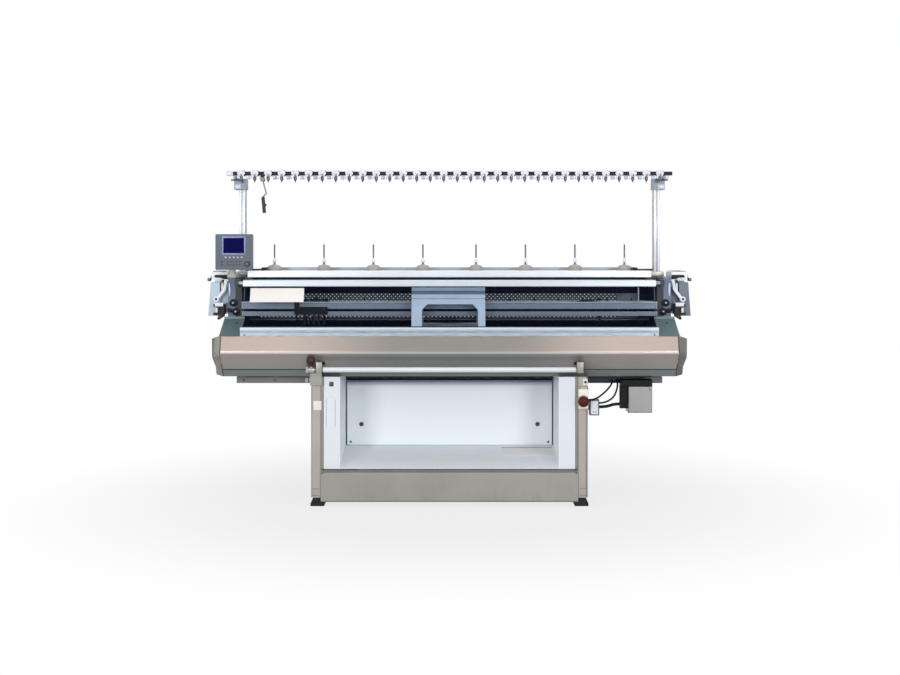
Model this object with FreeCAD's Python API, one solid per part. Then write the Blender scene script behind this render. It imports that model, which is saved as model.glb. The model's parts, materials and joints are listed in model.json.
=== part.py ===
import FreeCAD, Part
import math
import os

V = FreeCAD.Vector

# Flat knitting machine, millimetres. X runs along the needle beds, Y from the
# operator's side to the back, Z up from the floor. The part stands on its feet.

# ---- clearances and sheet ----
GAP = 0.3             # seat or running gap between neighbouring pieces
FIT = 0.05            # radial running clearance of a shaft in its bore
SHEET = 3.0           # folded steel sheet

# ---- stand ----
FOOT_H = 47.0
FOOT_W = 75.0
FOOT_TOP_W = 46.0
FOOT_TOE_H = 16.0
FOOT_D = 130.0
COLUMN_X = 694.0      # inner face of a column
COLUMN_W = 70.0
COLUMN_Y = -310.0     # front face of the columns
COLUMN_D = 610.0
COLUMN_ROUND = 14.0
REAR_BEAM_H = 140.0
REAR_BEAM_D = 60.0
REAR_BEAM_WALL = 6.0
REAR_BEAM_RISE = 13.0  # above the columns' underside
KICK_Z = 25.0
KICK_H = 176.0
KICK_LAP = 15.0       # how far the kick beam laps over each column
KICK_PROUD = 10.0     # how far it stands in front of the columns
KICK_D = 58.0
KICK_CHAMFER = 21.0

# ---- fabric recess ----
RECESS_HALF = 604.0   # inside half width between the white side panels
RECESS_SET = 5.0      # side panels behind the columns' front faces
CHUTE_FALL = 65.0     # how far the chute plate falls towards the front
PULL_W = 46.0         # grip cover on the left side panel
PULL_H = 184.0
PULL_Z = 420.0
PULL_PROUD = 4.0

# ---- controller ----
CABINET_Y = 140.0     # front of the cabinet
CABINET_D = 230.0
CABINET_Z = 262.0
CABINET_H = 388.0
CABINET_LIP = 20.0    # width of the front frame above and below the opening
DOOR_HALF = 597.0
DOOR_Z = 277.0
DOOR_BEND_Z = 609.0   # the top of the door leans back from here
DOOR_H = 367.0
DOOR_ROLL_R = 2.2       # rolled hinge edge along its foot
DOOR_LEAN = 0.45      # depth of the lean per height
DOOR_OPENING_HALF = 585.0
LOCK_X = 513.0
LOCK_Z = 396.0
LOCK_R = 12.5
LOCK_STEM_R = 6.0
LOCK_HEAD = 6.0
LOCK_SLOT_W = 3.0
LOCK_SLOT_DEEP = 2.0
LOCK_CAM_L = 36.0
LOCK_CAM_W = 12.0
CARD_COUNT = 6
CARD_T = 3.0
CARD_H = 250.0
CARD_D = 150.0
CARD_PITCH = 70.0
SUPPLY_W = 300.0
SUPPLY_H = 220.0

# ---- bed beam and beds: u is the distance from the centre plane of the beds ----
MID_Y = -20.0
END_IN = 1175.0       # inner face of the end frames, half length of the bed beam
BEAM_Z = 713.0        # underside of the bed beam
BEAM_SHELF = 51.6     # height of the rail shelves above the underside
BEAM_U = 230.0        # half depth of the beam
SLOPE_HALF = 180.0       # where the 45 degree slopes end
SLOT_U = 15.0         # half width of the fabric slot
CHANNEL_U = 70.0      # half width of the roller channel
CHANNEL_H = 137.0
BEAM_END_L = 90.0       # length of the closed beam ends that hold the rollers
BED_T = 30.0          # thickness of a needle bed across the slope
BED_U = 175.0         # lower edge of a needle bed
BED_END_SPACE = 95.0  # from each end of a needle bed to the end frame
TRICK_COUNT = 88      # grooves across each bed
TRICK_W = 6.0
TRICK_DEEP = 7.0
NEEDLE_W = 3.6
NEEDLE_H = 5.0
NEEDLE_OUT = 7.0      # how far the hooks stand into the fabric slot
ROLLER_R = 25.0
ROLLER_NIP = 2.0
ROLLER_RISE = 77.0    # roller axes above the beam's underside
ROLLER_SHAFT_R = 10.0
ROLLER_SHAFT_L = 60.0
ROLLER_GROOVE = 2.0

# ---- carriage ----
RAIL_U = 205.0        # centre of each carriage rail
RAIL_W = 20.0
RAIL_H = 30.0
RAIL_HALF = 1150.0
CARRIAGE_X = -6.0
CARRIAGE_W = 410.0
BOW_TOP = 1204.0
BOW_ROOF = 54.0       # thickness over the tunnel
BOW_OUT_U = 268.0     # widest half depth
BOW_SHOULDER_U = 192.0
BOW_CREST_U = 175.0
BOW_CREST_H = 24.0    # height of the sloped crest over the shoulders
BOW_WAIST_Z = 960.0
BOW_HIP_Z = 930.0
BOW_IN_TOP_U = 110.0
BOW_IN_SHOULDER_U = 140.0
BOW_LIP = 24.0        # how far the foot's lip hangs past the rail
ARCH_LEG_L = 58.0
ARCH_LEG_R = 40.0
ARCH_TOP = 1110.0
ARCH_CHAMFER = 30.0
ARCH_SILL = 985.0
BAND_H = 9.0          # grooves across the bow's front face
BAND_DEEP = 4.0
BAND_RISES = (27.0, 58.5)  # their heights over the arch
CAM_CLEAR = 1.5       # vertical gap of the cam boxes over the beds
CAM_INNER_U = 40.0
CAM_T = 36.0
CAM_BACK_H = 66.0
BELT_ARM_W = 60.0

# ---- belt drive ----
PULLEY_X = 1100.0
PULLEY_Z = 900.0
PULLEY_R = 55.0
PULLEY_W = 34.0
PULLEY_SHAFT_R = 12.0
PULLEY_HUB_R = 22.0
PULLEY_HOLE_R = 10.0
PULLEY_HOLES = 4
PULLEY_PLATE_SET = 13.0  # behind the widest part of the carriage, less the bracket
PULLEY_PLATE_T = 20.0
PULLEY_PLATE_H = 110.0
PULLEY_PLATE_X = 1050.0
BELT_T = 4.5
BELT_W = 30.0

# ---- yarn feeder rails ----
FEEDER_RAIL_PITCH = 80.0
FEEDER_RAIL_W = 14.0
FEEDER_RAIL_Z = 1078.0
FEEDER_RAIL_H = 41.0
LOWER_BAR_Z = 1039.0
LOWER_BAR_H = 25.0
FEEDER_W = 26.0
FEEDER_T = 17.0
FEEDER_TOP = 12.0     # block height over the rail
FEEDER_DROP = 20.0    # block height under the rail's lower edge
FINGER_W = 9.0
FINGER_T = 3.0
LANE = 8.0            # distance between the paths of the finger tips
TIP_Z = 990.0
FINGER_DROP = 26.0    # outermost elbow under its block
FINGER_STEP = 9.0     # each lane nearer the middle bends this much higher
FINGER_KNEE = 8.0
FINGER_ROOT = 12.0
CARRIER_W = 186.0     # long bar of the first feeder, in front of its rail
CARRIER_Z = 1047.0
CARRIER_H = 43.0
STRIKER_COUNT = 5     # fingers below the long bar
STRIKER_PITCH = 27.0
FEEDER_X = (-862.0, -816.0, -782.0, -748.0, -714.0, 864.0)

# ---- end frames ----
END_W = 78.7
END_FRONT_Y = -300.0
END_POST_Y = -100.0   # front of the upper part
END_BACK_Y = 240.0
END_TAIL_Y = 330.0
END_Z = 760.0
END_TOP = 1257.0
END_POCKET = 45.0
END_RIM = 30.0
HINGE_ARM_W = 20.0
HINGE_PIN_R = 6.0
LUG_IN = 55.0         # the lugs under the top rail reach in this far
LUG_H = 25.0

# ---- covers ----
COVER_TOP_Y = -366.0
COVER_TOP_Z = 939.0
COVER_BULGE_Y = -400.0
COVER_BULGE_Z = 849.0
COVER_BULGE_R = 25.0
COVER_LOW_Y = -310.0
COVER_LOW_Z = 755.0
COVER_FOOT_Y = -280.0
COVER_FLANGE = 66.0
CAP_TOP_X = 1303.0    # outer face of an end cap at its top
CAP_FOOT_X = 1286.0
CAP_INSET = 12.0      # facet round the outer face
CAP_BACK_Y = -180.0
CORNER_OVER = 8.0      # the corner panels reach this far over the end caps
CORNER_RISE = 84.0
CORNER_BACK_Y = -175.0
REAR_BACK_Y = 421.0
REAR_TOP_Z = 1000.0
REAR_SHOULDER_Y = 345.0
REAR_SHOULDER_Z = 960.0
REAR_HIGH_Z = 880.0
REAR_LOW_Z = 800.0
REAR_FOOT_Y = 320.0
MESH_HALF = 1240.0
MESH_TOP = 1300.0

# ---- safety cover ----
GUARD_CLEAR = 27.0     # cover and top rail end this far inside the end frames
GUARD_LOW_Y = -342.0
GUARD_LOW_H = 48.4
GUARD_LOW_D = 40.0
GUARD_TOP_Y = -225.0
GUARD_TOP_Z = 1227.5
GUARD_TOP_H = 35.0
GUARD_TOP_D = 40.0
GUARD_GROOVE = 5.0
PANE_T = 5.0
PANE_INSET = 8.0

# ---- top rail, shelf, cone stands ----
TOP_RAIL_Y = -60.0
TOP_RAIL_D = 60.0
TOP_RAIL_H = 36.0
TOP_RAIL_GROOVE = 6.0
SHELF_Y = 25.0
SHELF_HALF = 1073.0
SHELF_Z = 1292.0
SHELF_SKIRT = 15.0
SHELF_LIP = 17.0
SHELF_CAP = 7.0
CONE_Y = 100.0
CONE_PITCH = 287.0
CONE_FIRST = 154.0
CONE_PER_SIDE = 4
CONE_BASE_R = 38.5
CONE_BASE_H = 32.0
CONE_HUB_R = 12.0
SPINDLE_R = 4.5
SPINDLE_H = 152.0
SPINDLE_CONE_Z = 52.0
SPINDLE_CONE_R = 11.0

# ---- masts, yarn rail, tension units ----
MAST_X = 1206.0
MAST_W = 36.0
MAST_Y = 120.0
MAST_D = 70.0
MAST_GROOVE_W = 9.0
MAST_GROOVE = 6.0
MAST_FOOT_W = 80.0
MAST_FOOT_H = 29.0
MAST_FOOT_D = 100.0
NECK_RISE = 18.0       # yarn rail above the mast clamps
CLAMP_H = 64.0
CLAMP_WALL = 15.0     # clamp wall before and behind the mast
CLAMP_IN = 6.0         # on the side towards the middle of the machine
CLAMP_OUT = 27.0       # on the outer side
YARN_RAIL_Z = 1843.0
YARN_RAIL_H = 22.0
YARN_RAIL_W = 22.0
YARN_RAIL_FORE = 32.0  # rail centre in front of the masts
NECK_W = 14.0         # neck from each mast clamp up to the rail
YARN_RAIL_HALF = 1290.0
UNIT_COUNT = 32
UNIT_PITCH = 78.16
UNIT_SHIFT = 6.0       # the row stands this far right of the middle
UNIT_W = 48.0
UNIT_TOP = 9.0        # height over the rail
UNIT_LOW = 6.0        # height under the rail
UNIT_D = 42.0
UNIT_END_W = 30.0      # width at the top and the bottom
HOOK_ROOT = 10.0       # how far up the clamp the guide is fixed
HOOK_DROP = 37.0
HOOK_W = 26.0
HOOK_T = 4.0
STOP_X = -1081.0
STOP_BEND_X = 22.0
STOP_BEND_Z = 81.0
STOP_ROD_R = 4.0
STOP_GRIP_R = 10.0
STOP_GRIP_L = 92.0
STOP_HUB_R = 12.0
STOP_HUB_W = 14.0
STOP_HUB_DROP = 23.0   # hub centre under the yarn rail's underside

# ---- control panel ----
PANEL_X = -1209.5
PANEL_W = 207.0
PANEL_Z = 1300.0
PANEL_H = 201.0
PANEL_Y = -175.0      # front face
PANEL_D = 50.0
PANEL_ROUND = 5.0
POST_X = -1222.0
POST_Y = -150.0
POST_R = 12.0
POST_DEEP = 20.0
ARM_W = 55.0
ARM_H = 20.0
SCREEN_X = -1210.0
SCREEN_W = 116.0
SCREEN_Z = 1394.0
SCREEN_H = 85.0
SCREEN_T = 2.5
KEY_COLUMNS = 5
SOFT_KEY_PITCH = 22.5
KEY_PITCH = 16.875
KEY_W = 9.0
KEY_H = 6.0
KEY_PROUD = 1.0
SOFT_KEY_Z = 1368.0
KEY_ROW_Z = (1343.0, 1326.0)
DIAL_X = -1135.0
DIAL_Z = 1334.0
DIAL_R = 16.0
DIAL_H = 14.0
DIAL_STEM_R = 4.0
DIAL_STEM_L = 10.0

# ---- operation bar and switches ----
BAR_Y = -378.0
BAR_Z = 758.0
BAR_R = 14.0
BAR_HALF = 693.0
BAR_SHAFT_R = 8.0
BRACKET_GAP = 8.0     # bar end to bracket
CHEEK_W = 14.0
CHEEK_PITCH = 69.0
CHEEK_TOP = 775.0
CHEEK_NOSE = 20.0
KNOB_X = -756.0
KNOB_Y = -396.0
KNOB_Z = 808.0
KNOB_R = 25.0
KNOB_STEM_R = 8.0
HANGER_Z = 668.0
HANGER_W = 65.0
HANGER_T = 30.0
SWITCH_X = 735.0
SWITCH_W = 56.0
SWITCH_Z = 537.0
SWITCH_H = 123.0
SWITCH_D = 35.0
STOP_Z = 581.0
STOP_R = 30.0
STOP_HEAD = 20.0
STOP_TRAVEL = 6.0
STOP_STEM_R = 10.0
SOCKET_X = 774.0
SOCKET_W = 52.0
SOCKET_Z = 500.0
SOCKET_H = 86.0
SOCKET_D = 60.0

# ---- under trays and right drive unit ----
TRAY_IN = 774.0
TRAY_OUT = 1190.0
TRAY_Z = 668.0
TRAY_H = 34.0
TRAY_Y = -200.0
TRAY_D = 300.0
TRAY_LUG_W = 30.0
GEAR_X = 950.0
GEAR_W = 172.0
GEAR_Z = 658.0
GEAR_H = 36.0
GEAR_D = 90.0
BOX_X = 990.0
BOX_W = 132.0
BOX_H = 147.0
BOX_D = 140.0
BOX_ROUND = 8.0
MOTOR_W = 44.0        # upright motor beside the cover box
MOTOR_H = 124.0
MOTOR_ROUND = 6.0
MOTOR_BAND = 12.0     # slim waist between the motor's body and its foot
MOTOR_LEAD_Z = 556.0

# ---- ends ----
HOUSING_X = 1300.0
HOUSING_LOW_W = 66.0
HOUSING_TOP_W = 52.0
HOUSING_Z = 1039.0
HOUSING_H = 189.0
HOUSING_Y = -100.0
HOUSING_D = 350.0
HOUSING_WEB_Z = 1060.0
HOUSING_WEB_H = 140.0
HOUSING_WEB_Y = -60.0
HOUSING_WEB_D = 260.0
CROWN_X = 1264.0
CROWN_W = 90.0
CROWN_RISE = 15.0
CROWN_H = 47.0
CROWN_Y = -60.0
CROWN_D = 210.0
BLOCK_X = 1265.0
BLOCK_W = 62.0
BLOCK_Z = 1045.0
BLOCK_H = 62.0
BLOCK_D = 60.0
BLOCK_WALL = 14.0
ARM_PIVOT_X = 1318.0
ARM_PIVOT_Z = 1134.0
ARM_HUB_R = 15.0
ARM_HUB_W = 24.0
ARM_PIN_R = 5.0
ARM_PIN_L = 15.0
ARM_T = 8.0
ARM_WIDE = 16.0
ARM_KNEE_X = 1272.0
ARM_KNEE_Z = 1188.0
ARM_TIP_Z = 1244.0
LEVER_Y = -20.0
LEVER_R = 9.0
LEVER_HUB_T = 6.0
LEVER_ARM_L = 46.0
LEVER_GRIP_R = 8.5
LEVER_GRIP_L = 14.7
LEVER_PIN_R = 4.0
LEVER_PIN_L = 12.0

# ---- cables from the switch boxes to the drive unit ----
BEND_SHARE = 0.45     # share of the shorter run that each bend takes
CABLE_R = 5.0
CABLE_THICK_R = 8.5
SWITCH_LEAD_IN = 132.0  # where the leads enter the tray, from its inner end
SOCKET_LEAD_IN = 161.0
SWITCH_LEAD = ((0.1, 0.0, 0.0), (0.38, 0.0, 0.14), (0.7, 0.06, 0.5), (0.92, 0.26, 0.84), (1.0, 0.6, 1.0))
SOCKET_LEAD = ((0.14, 0.0, 0.0), (0.42, -0.02, 0.06), (0.76, -0.06, 0.27), (0.95, 0.06, 0.66),
               (1.0, 0.42, 1.0))
MOTOR_LEAD = ((0.14, 0.0, 0.0), (0.42, 0.14, 0.2), (0.7, 0.86, 0.86), (0.9, 1.0, 1.0))

# ---- places that follow from the sizes above ----
BED_HALF = END_IN - BED_END_SPACE
PULLEY_PLATE_Y = MID_Y + BOW_OUT_U - PULLEY_PLATE_SET
YARN_RAIL_Y = MAST_Y - YARN_RAIL_FORE
COLUMN_TOP = BEAM_Z
COLUMN_OUT = COLUMN_X + COLUMN_W
COLUMN_BACK = COLUMN_Y + COLUMN_D
KICK_TOP = KICK_Z + KICK_H
RECESS_OUT = COLUMN_X
CABINET_BACK = CABINET_Y + CABINET_D
CABINET_TOP = CABINET_Z + CABINET_H
SHELF_LEVEL = BEAM_Z + BEAM_SHELF
SLOT_EDGE_Z = SHELF_LEVEL + SLOPE_HALF - SLOT_U
BED_RISE = BED_T * math.sqrt(2.0)
BED_EDGE_Z = SLOT_EDGE_Z + BED_RISE
ROLLER_Z = BEAM_Z + ROLLER_RISE
ROLLER_U = ROLLER_R + ROLLER_NIP / 2.0
CHANNEL_IN = END_IN - BEAM_END_L
RAIL_TOP = SHELF_LEVEL + RAIL_H
FOOT_Z = RAIL_TOP + GAP
BELT_TOP = PULLEY_Z + PULLEY_R + GAP + BELT_T
FEEDER_RAIL_TOP = FEEDER_RAIL_Z + FEEDER_RAIL_H
END_OUT = END_IN + END_W
COVER_HALF = END_OUT + GAP    # seam between the front cover and the end caps
GUARD_HALF = END_IN - GUARD_CLEAR
PANE_HALF = GUARD_HALF - PANE_INSET
GUARD_LOW_Z = COVER_TOP_Z + GAP
GUARD_LOW_TOP = GUARD_LOW_Z + GUARD_LOW_H
GUARD_TOP_LOW = GUARD_TOP_Z - GUARD_TOP_H / 2.0
TOP_RAIL_TOP = END_TOP + TOP_RAIL_H
MAST_FOOT_TOP = END_TOP + MAST_FOOT_H
CLAMP_Z = YARN_RAIL_Z - NECK_RISE - CLAMP_H
UNIT_BOTTOM = YARN_RAIL_Z - UNIT_LOW
STOP_HUB_Z = YARN_RAIL_Z - STOP_HUB_DROP
CORNER_SLOPE = CORNER_RISE / (CORNER_BACK_Y - COVER_TOP_Y)
CORNER_DROP = SHEET * math.hypot(1.0, CORNER_SLOPE)
CORNER_Z = COVER_TOP_Z + CORNER_DROP + GAP
CROWN_Z = HOUSING_Z + HOUSING_H + CROWN_RISE
CROWN_OUT = CROWN_X + CROWN_W


# ---- shapes ----
def block(x0, x1, y0, y1, z0, z1):
    """Box between two corners."""
    return Part.makeBox(x1 - x0, y1 - y0, z1 - z0, V(x0, y0, z0))


def prism_x(outline, x0, x1):
    """Closed (y, z) outline drawn out along X."""
    points = [V(x0, y, z) for y, z in outline]
    return Part.Face(Part.makePolygon(points + points[:1])).extrude(V(x1 - x0, 0, 0))


def prism_y(outline, y0, y1):
    """Closed (x, z) outline drawn out along Y."""
    points = [V(x, y0, z) for x, z in outline]
    return Part.Face(Part.makePolygon(points + points[:1])).extrude(V(0, y1 - y0, 0))


def rod(radius, start, end):
    """Round rod between two points."""
    way = end - start
    return Part.makeCylinder(radius, way.Length, start, way)


def turned(outline, base, axis=V(0, 0, 1)):
    """Closed (radius, height) outline turned about an axis through base."""
    points = [V(r, 0, h) for r, h in outline]
    solid = Part.Face(Part.makePolygon(points + points[:1])).revolve(V(0, 0, 0), V(0, 0, 1), 360)
    solid.Placement = FreeCAD.Placement(base, FreeCAD.Rotation(V(0, 0, 1), axis))
    return solid


def folded(points, thick):
    """Outline of a folded sheet: the (y, z) line and its copy, thick away on its left."""
    offsets = []
    for (ay, az), (by, bz) in zip(points, points[1:]):
        length = math.hypot(by - ay, bz - az)
        offsets.append((-(bz - az) / length, (by - ay) / length))
    inner = []
    for i, (y, z) in enumerate(points):
        before = offsets[max(i - 1, 0)]
        after = offsets[min(i, len(offsets) - 1)]
        share = thick / (1.0 + before[0] * after[0] + before[1] * after[1])
        inner.append((y + share * (before[0] + after[0]), z + share * (before[1] + after[1])))
    return points + inner[::-1]


def round_x(solid, places, radius):
    """Round the edges along X that pass nearest to the (y, z) places."""
    chosen = []
    for y, z in places:
        along = [e for e in solid.Edges if abs(e.BoundBox.XLength - e.Length) < 0.001 and e.Length > 1.0]
        chosen.append(min(along, key=lambda e: math.hypot(e.CenterOfMass.y - y, e.CenterOfMass.z - z)))
    return solid.makeFillet(radius, chosen)


def bed_side(outline, x0, x1, side):
    """Prism of (u, z) points on the front (-1) or the back (+1) of the beds' centre plane."""
    return prism_x([(MID_Y + side * u, z) for u, z in outline], x0, x1)


def mirrored(shape):
    """The same shape on the other end of the machine."""
    return shape.mirror(V(0, 0, 0), V(1, 0, 0))


def both(shape):
    """A shape and its mirror image."""
    return [shape, mirrored(shape)]


def group(*shapes):
    """Separate solids of one node."""
    solids = []
    for shape in shapes:
        solids.extend(shape if isinstance(shape, list) else [shape])
    return Part.makeCompound(solids)


# ---- stand ----
def levelling_feet():
    middle = COLUMN_X + COLUMN_W / 2.0
    wide = FOOT_W / 2.0
    narrow = FOOT_TOP_W / 2.0
    outline = [(middle - wide, 0), (middle + wide, 0), (middle + wide, FOOT_TOE_H), (middle + narrow, FOOT_H),
               (middle - narrow, FOOT_H), (middle - wide, FOOT_TOE_H)]
    front = prism_y(outline, COLUMN_Y, COLUMN_Y + FOOT_D)
    back = prism_y(outline, COLUMN_BACK - FOOT_D, COLUMN_BACK)
    return group(both(front), both(back))


def stand_frame():
    column = block(COLUMN_X, COLUMN_OUT, COLUMN_Y, COLUMN_BACK, FOOT_H, COLUMN_TOP)
    upright = [e for e in column.Edges if e.BoundBox.ZLength > FOOT_W and e.CenterOfMass.y < COLUMN_Y + 1.0]
    column = column.makeFillet(COLUMN_ROUND, upright)
    z0 = FOOT_H + REAR_BEAM_RISE
    y0 = COLUMN_BACK - REAR_BEAM_D
    wall = REAR_BEAM_WALL
    beam = block(-COLUMN_X, COLUMN_X, y0, COLUMN_BACK, z0, z0 + REAR_BEAM_H)
    hollow = block(-COLUMN_X, COLUMN_X, y0 + wall, COLUMN_BACK, z0 + wall, z0 + REAR_BEAM_H - wall)
    return group(both(column), beam.cut(hollow))


def kick_beam():
    y0 = COLUMN_Y - KICK_PROUD
    line = [(y0 + KICK_D, KICK_Z), (y0, KICK_Z), (y0, KICK_TOP - KICK_CHAMFER), (y0 + KICK_CHAMFER, KICK_TOP),
            (y0 + KICK_D, KICK_TOP)]
    inside = COLUMN_X - GAP
    shell = prism_x(folded(line, -SHEET), -inside, inside)
    lap = COLUMN_X + KICK_LAP
    face = block(-lap, lap, y0, y0 + SHEET, KICK_Z, KICK_TOP - KICK_CHAMFER)
    back_edge = block(-lap, lap, y0 + SHEET, COLUMN_Y, KICK_Z, KICK_Z + SHEET)
    return shell.fuse([face, back_edge]).removeSplitter()


def recess_panels():
    y0 = COLUMN_Y + RECESS_SET
    z0 = KICK_TOP + GAP
    top = BEAM_Z - GAP
    strip = block(RECESS_HALF, RECESS_OUT - GAP, y0, y0 + SHEET, z0, top)
    wall = block(RECESS_HALF, RECESS_HALF + SHEET, y0, CABINET_Y - GAP, z0, top)
    side = strip.fuse(wall).removeSplitter()
    centre = -(RECESS_HALF + RECESS_OUT) / 2.0 - (RECESS_OUT - RECESS_HALF - PULL_W) / 8.0
    pull = block(centre - PULL_W / 2.0, centre + PULL_W / 2.0, y0 - PULL_PROUD, y0, PULL_Z, PULL_Z + PULL_H)
    rounded = [e for e in pull.Edges if abs(e.BoundBox.YLength - PULL_PROUD) < 0.01]
    pull = pull.makeFillet(PULL_W / 2.0 - 1.0, rounded)
    fall = [(y0, z0 + SHEET), (CABINET_Y - 2 * GAP, z0 + SHEET + CHUTE_FALL)]
    chute = prism_x(folded(fall, SHEET), -RECESS_HALF + GAP, RECESS_HALF - GAP)
    return group(both(side), pull, chute)


# ---- controller ----
def controller_cabinet():
    half = COLUMN_X - GAP
    z0 = CABINET_Z
    outer = block(-half, half, CABINET_Y, CABINET_BACK, z0, CABINET_TOP)
    inner = block(-half + SHEET, half - SHEET, CABINET_Y + SHEET, CABINET_BACK - SHEET, z0 + SHEET,
                  CABINET_TOP - SHEET)
    mouth = block(-DOOR_OPENING_HALF, DOOR_OPENING_HALF, CABINET_Y - 1.0, CABINET_Y + SHEET + 1.0,
                  z0 + CABINET_LIP, CABINET_TOP - CABINET_LIP)
    return outer.cut([inner, mouth])


def controller_cards():
    floor = CABINET_Z + SHEET
    back = CABINET_BACK - SHEET
    cards = []
    for i in range(CARD_COUNT):
        x = -DOOR_OPENING_HALF + CARD_PITCH * (i + 1)
        cards.append(block(x, x + CARD_T, back - CARD_D, back, floor, floor + CARD_H))
    supply = block(DOOR_OPENING_HALF - SUPPLY_W, DOOR_OPENING_HALF, back - CARD_D, back, floor,
                   floor + SUPPLY_H)
    return group(cards, supply)


def controller_door():
    y = CABINET_Y - GAP
    lean = DOOR_LEAN * (DOOR_Z + DOOR_H - DOOR_BEND_Z)
    line = [(y - SHEET, DOOR_Z), (y - SHEET, DOOR_BEND_Z), (y - SHEET - lean, DOOR_Z + DOOR_H)]
    door = prism_x(folded(line, -SHEET), -DOOR_HALF, DOOR_HALF)
    roll_y = y - SHEET + DOOR_ROLL_R / 4
    roll = rod(DOOR_ROLL_R, V(-DOOR_HALF, roll_y, DOOR_Z), V(DOOR_HALF, roll_y, DOOR_Z))
    door = door.fuse(roll).removeSplitter()
    for side in (-1, 1):
        x = side * LOCK_X
        door = door.cut(rod(LOCK_STEM_R + GAP, V(x, y - 2 * SHEET, LOCK_Z), V(x, y + SHEET, LOCK_Z)))
    return door


def door_lock(side):
    x = side * LOCK_X
    face = CABINET_Y - GAP - SHEET - GAP
    head = turned([(0, 0), (LOCK_R, 0), (LOCK_R, LOCK_HEAD - 2), (LOCK_R - 2, LOCK_HEAD), (0, LOCK_HEAD)],
                  V(x, face, LOCK_Z), V(0, -1, 0))
    slot = block(x - LOCK_R, x + LOCK_R, face - LOCK_HEAD - 1, face - LOCK_HEAD + LOCK_SLOT_DEEP,
                 LOCK_Z - LOCK_SLOT_W / 2, LOCK_Z + LOCK_SLOT_W / 2)
    inner_face = CABINET_Y
    stem = rod(LOCK_STEM_R, V(x, face, LOCK_Z), V(x, inner_face + LOCK_HEAD, LOCK_Z))
    cam = block(x - LOCK_CAM_W / 2, x + LOCK_CAM_W / 2, inner_face + GAP, inner_face + LOCK_HEAD,
                LOCK_Z - LOCK_CAM_W / 2, LOCK_Z + LOCK_CAM_L)
    return head.cut(slot).fuse([stem, cam])


# ---- bed ----
def bed_beam():
    half = [(BEAM_U, BEAM_Z), (CHANNEL_U, BEAM_Z), (CHANNEL_U, BEAM_Z + CHANNEL_H),
            (SLOT_U, BEAM_Z + CHANNEL_H + (CHANNEL_U - SLOT_U)), (SLOT_U, SLOT_EDGE_Z),
            (SLOPE_HALF, SHELF_LEVEL), (BEAM_U, SHELF_LEVEL)]
    sides = [bed_side(half, -CHANNEL_IN, CHANNEL_IN, side) for side in (-1, 1)]
    whole = [(-BEAM_U, BEAM_Z), (BEAM_U, BEAM_Z), (BEAM_U, SHELF_LEVEL), (SLOPE_HALF, SHELF_LEVEL),
             (SLOT_U, SLOT_EDGE_Z), (-SLOT_U, SLOT_EDGE_Z), (-SLOPE_HALF, SHELF_LEVEL),
             (-BEAM_U, SHELF_LEVEL)]
    end = bed_side(whole, CHANNEL_IN, END_IN, 1)
    beam = sides[0].fuse([sides[1]] + both(end))
    bores = []
    for side in (-1, 1):
        y = MID_Y + side * ROLLER_U
        bores.append(rod(ROLLER_SHAFT_R + FIT, V(-END_IN - 1, y, ROLLER_Z), V(END_IN + 1, y, ROLLER_Z)))
    return beam.cut(bores).removeSplitter()


def needle_bed(side):
    top = BED_EDGE_Z + SLOT_U
    outline = [(SLOT_U, top - SLOT_U), (BED_U, top - BED_U), (BED_U, top - BED_U - BED_RISE),
               (SLOT_U, top - SLOT_U - BED_RISE)]
    bed = bed_side(outline, -BED_HALF, BED_HALF, side)
    deep = TRICK_DEEP * math.sqrt(2.0)
    high = NEEDLE_H * math.sqrt(2.0)
    groove = [(0, top + deep), (BED_U + BED_RISE, top - BED_U - BED_RISE + deep),
              (BED_U + BED_RISE, top - BED_U - BED_RISE - deep), (0, top - deep)]
    reach = SLOT_U - NEEDLE_OUT
    needle = [(reach, top - reach - deep), (reach, top - reach - deep + high),
              (BED_U, top - BED_U - deep + high), (BED_U, top - BED_U - deep)]
    pitch = 2.0 * BED_HALF / (TRICK_COUNT + 1)
    grooves = []
    needles = []
    for i in range(TRICK_COUNT):
        x = -BED_HALF + pitch * (i + 1)
        grooves.append(bed_side(groove, x - TRICK_W / 2, x + TRICK_W / 2, side))
        needles.append(bed_side(needle, x - NEEDLE_W / 2, x + NEEDLE_W / 2, side))
    return group(bed.cut(Part.makeCompound(grooves)), needles)


def takedown_roller(side):
    y = MID_Y + side * ROLLER_U
    face = CHANNEL_IN - GAP
    wide = ROLLER_R - ROLLER_GROOVE
    outline = [(0, -face - ROLLER_SHAFT_L), (ROLLER_SHAFT_R, -face - ROLLER_SHAFT_L), (ROLLER_SHAFT_R, -face),
               (wide, -face), (ROLLER_R, -face + ROLLER_GROOVE), (ROLLER_R, face - ROLLER_GROOVE),
               (wide, face), (ROLLER_SHAFT_R, face), (ROLLER_SHAFT_R, face + ROLLER_SHAFT_L),
               (0, face + ROLLER_SHAFT_L)]
    return turned(outline, V(0, y, ROLLER_Z), V(1, 0, 0))


def carriage_rails():
    outline = [(RAIL_U - RAIL_W / 2, SHELF_LEVEL), (RAIL_U + RAIL_W / 2, SHELF_LEVEL),
               (RAIL_U + RAIL_W / 2, RAIL_TOP), (RAIL_U - RAIL_W / 2, RAIL_TOP)]
    return group([bed_side(outline, -RAIL_HALF, RAIL_HALF, side) for side in (-1, 1)])


def feeder_rails():
    rails = []
    for i in (-1, 0, 1):
        y = MID_Y + i * FEEDER_RAIL_PITCH
        rails.append(block(-END_IN, END_IN, y - FEEDER_RAIL_W / 2, y + FEEDER_RAIL_W / 2, FEEDER_RAIL_Z,
                           FEEDER_RAIL_TOP))
    y = MID_Y - FEEDER_RAIL_PITCH
    bar = block(-END_IN, END_IN, y - FEEDER_RAIL_W / 2, y + FEEDER_RAIL_W / 2, LOWER_BAR_Z,
                LOWER_BAR_Z + LOWER_BAR_H)
    return group(rails, bar)


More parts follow.
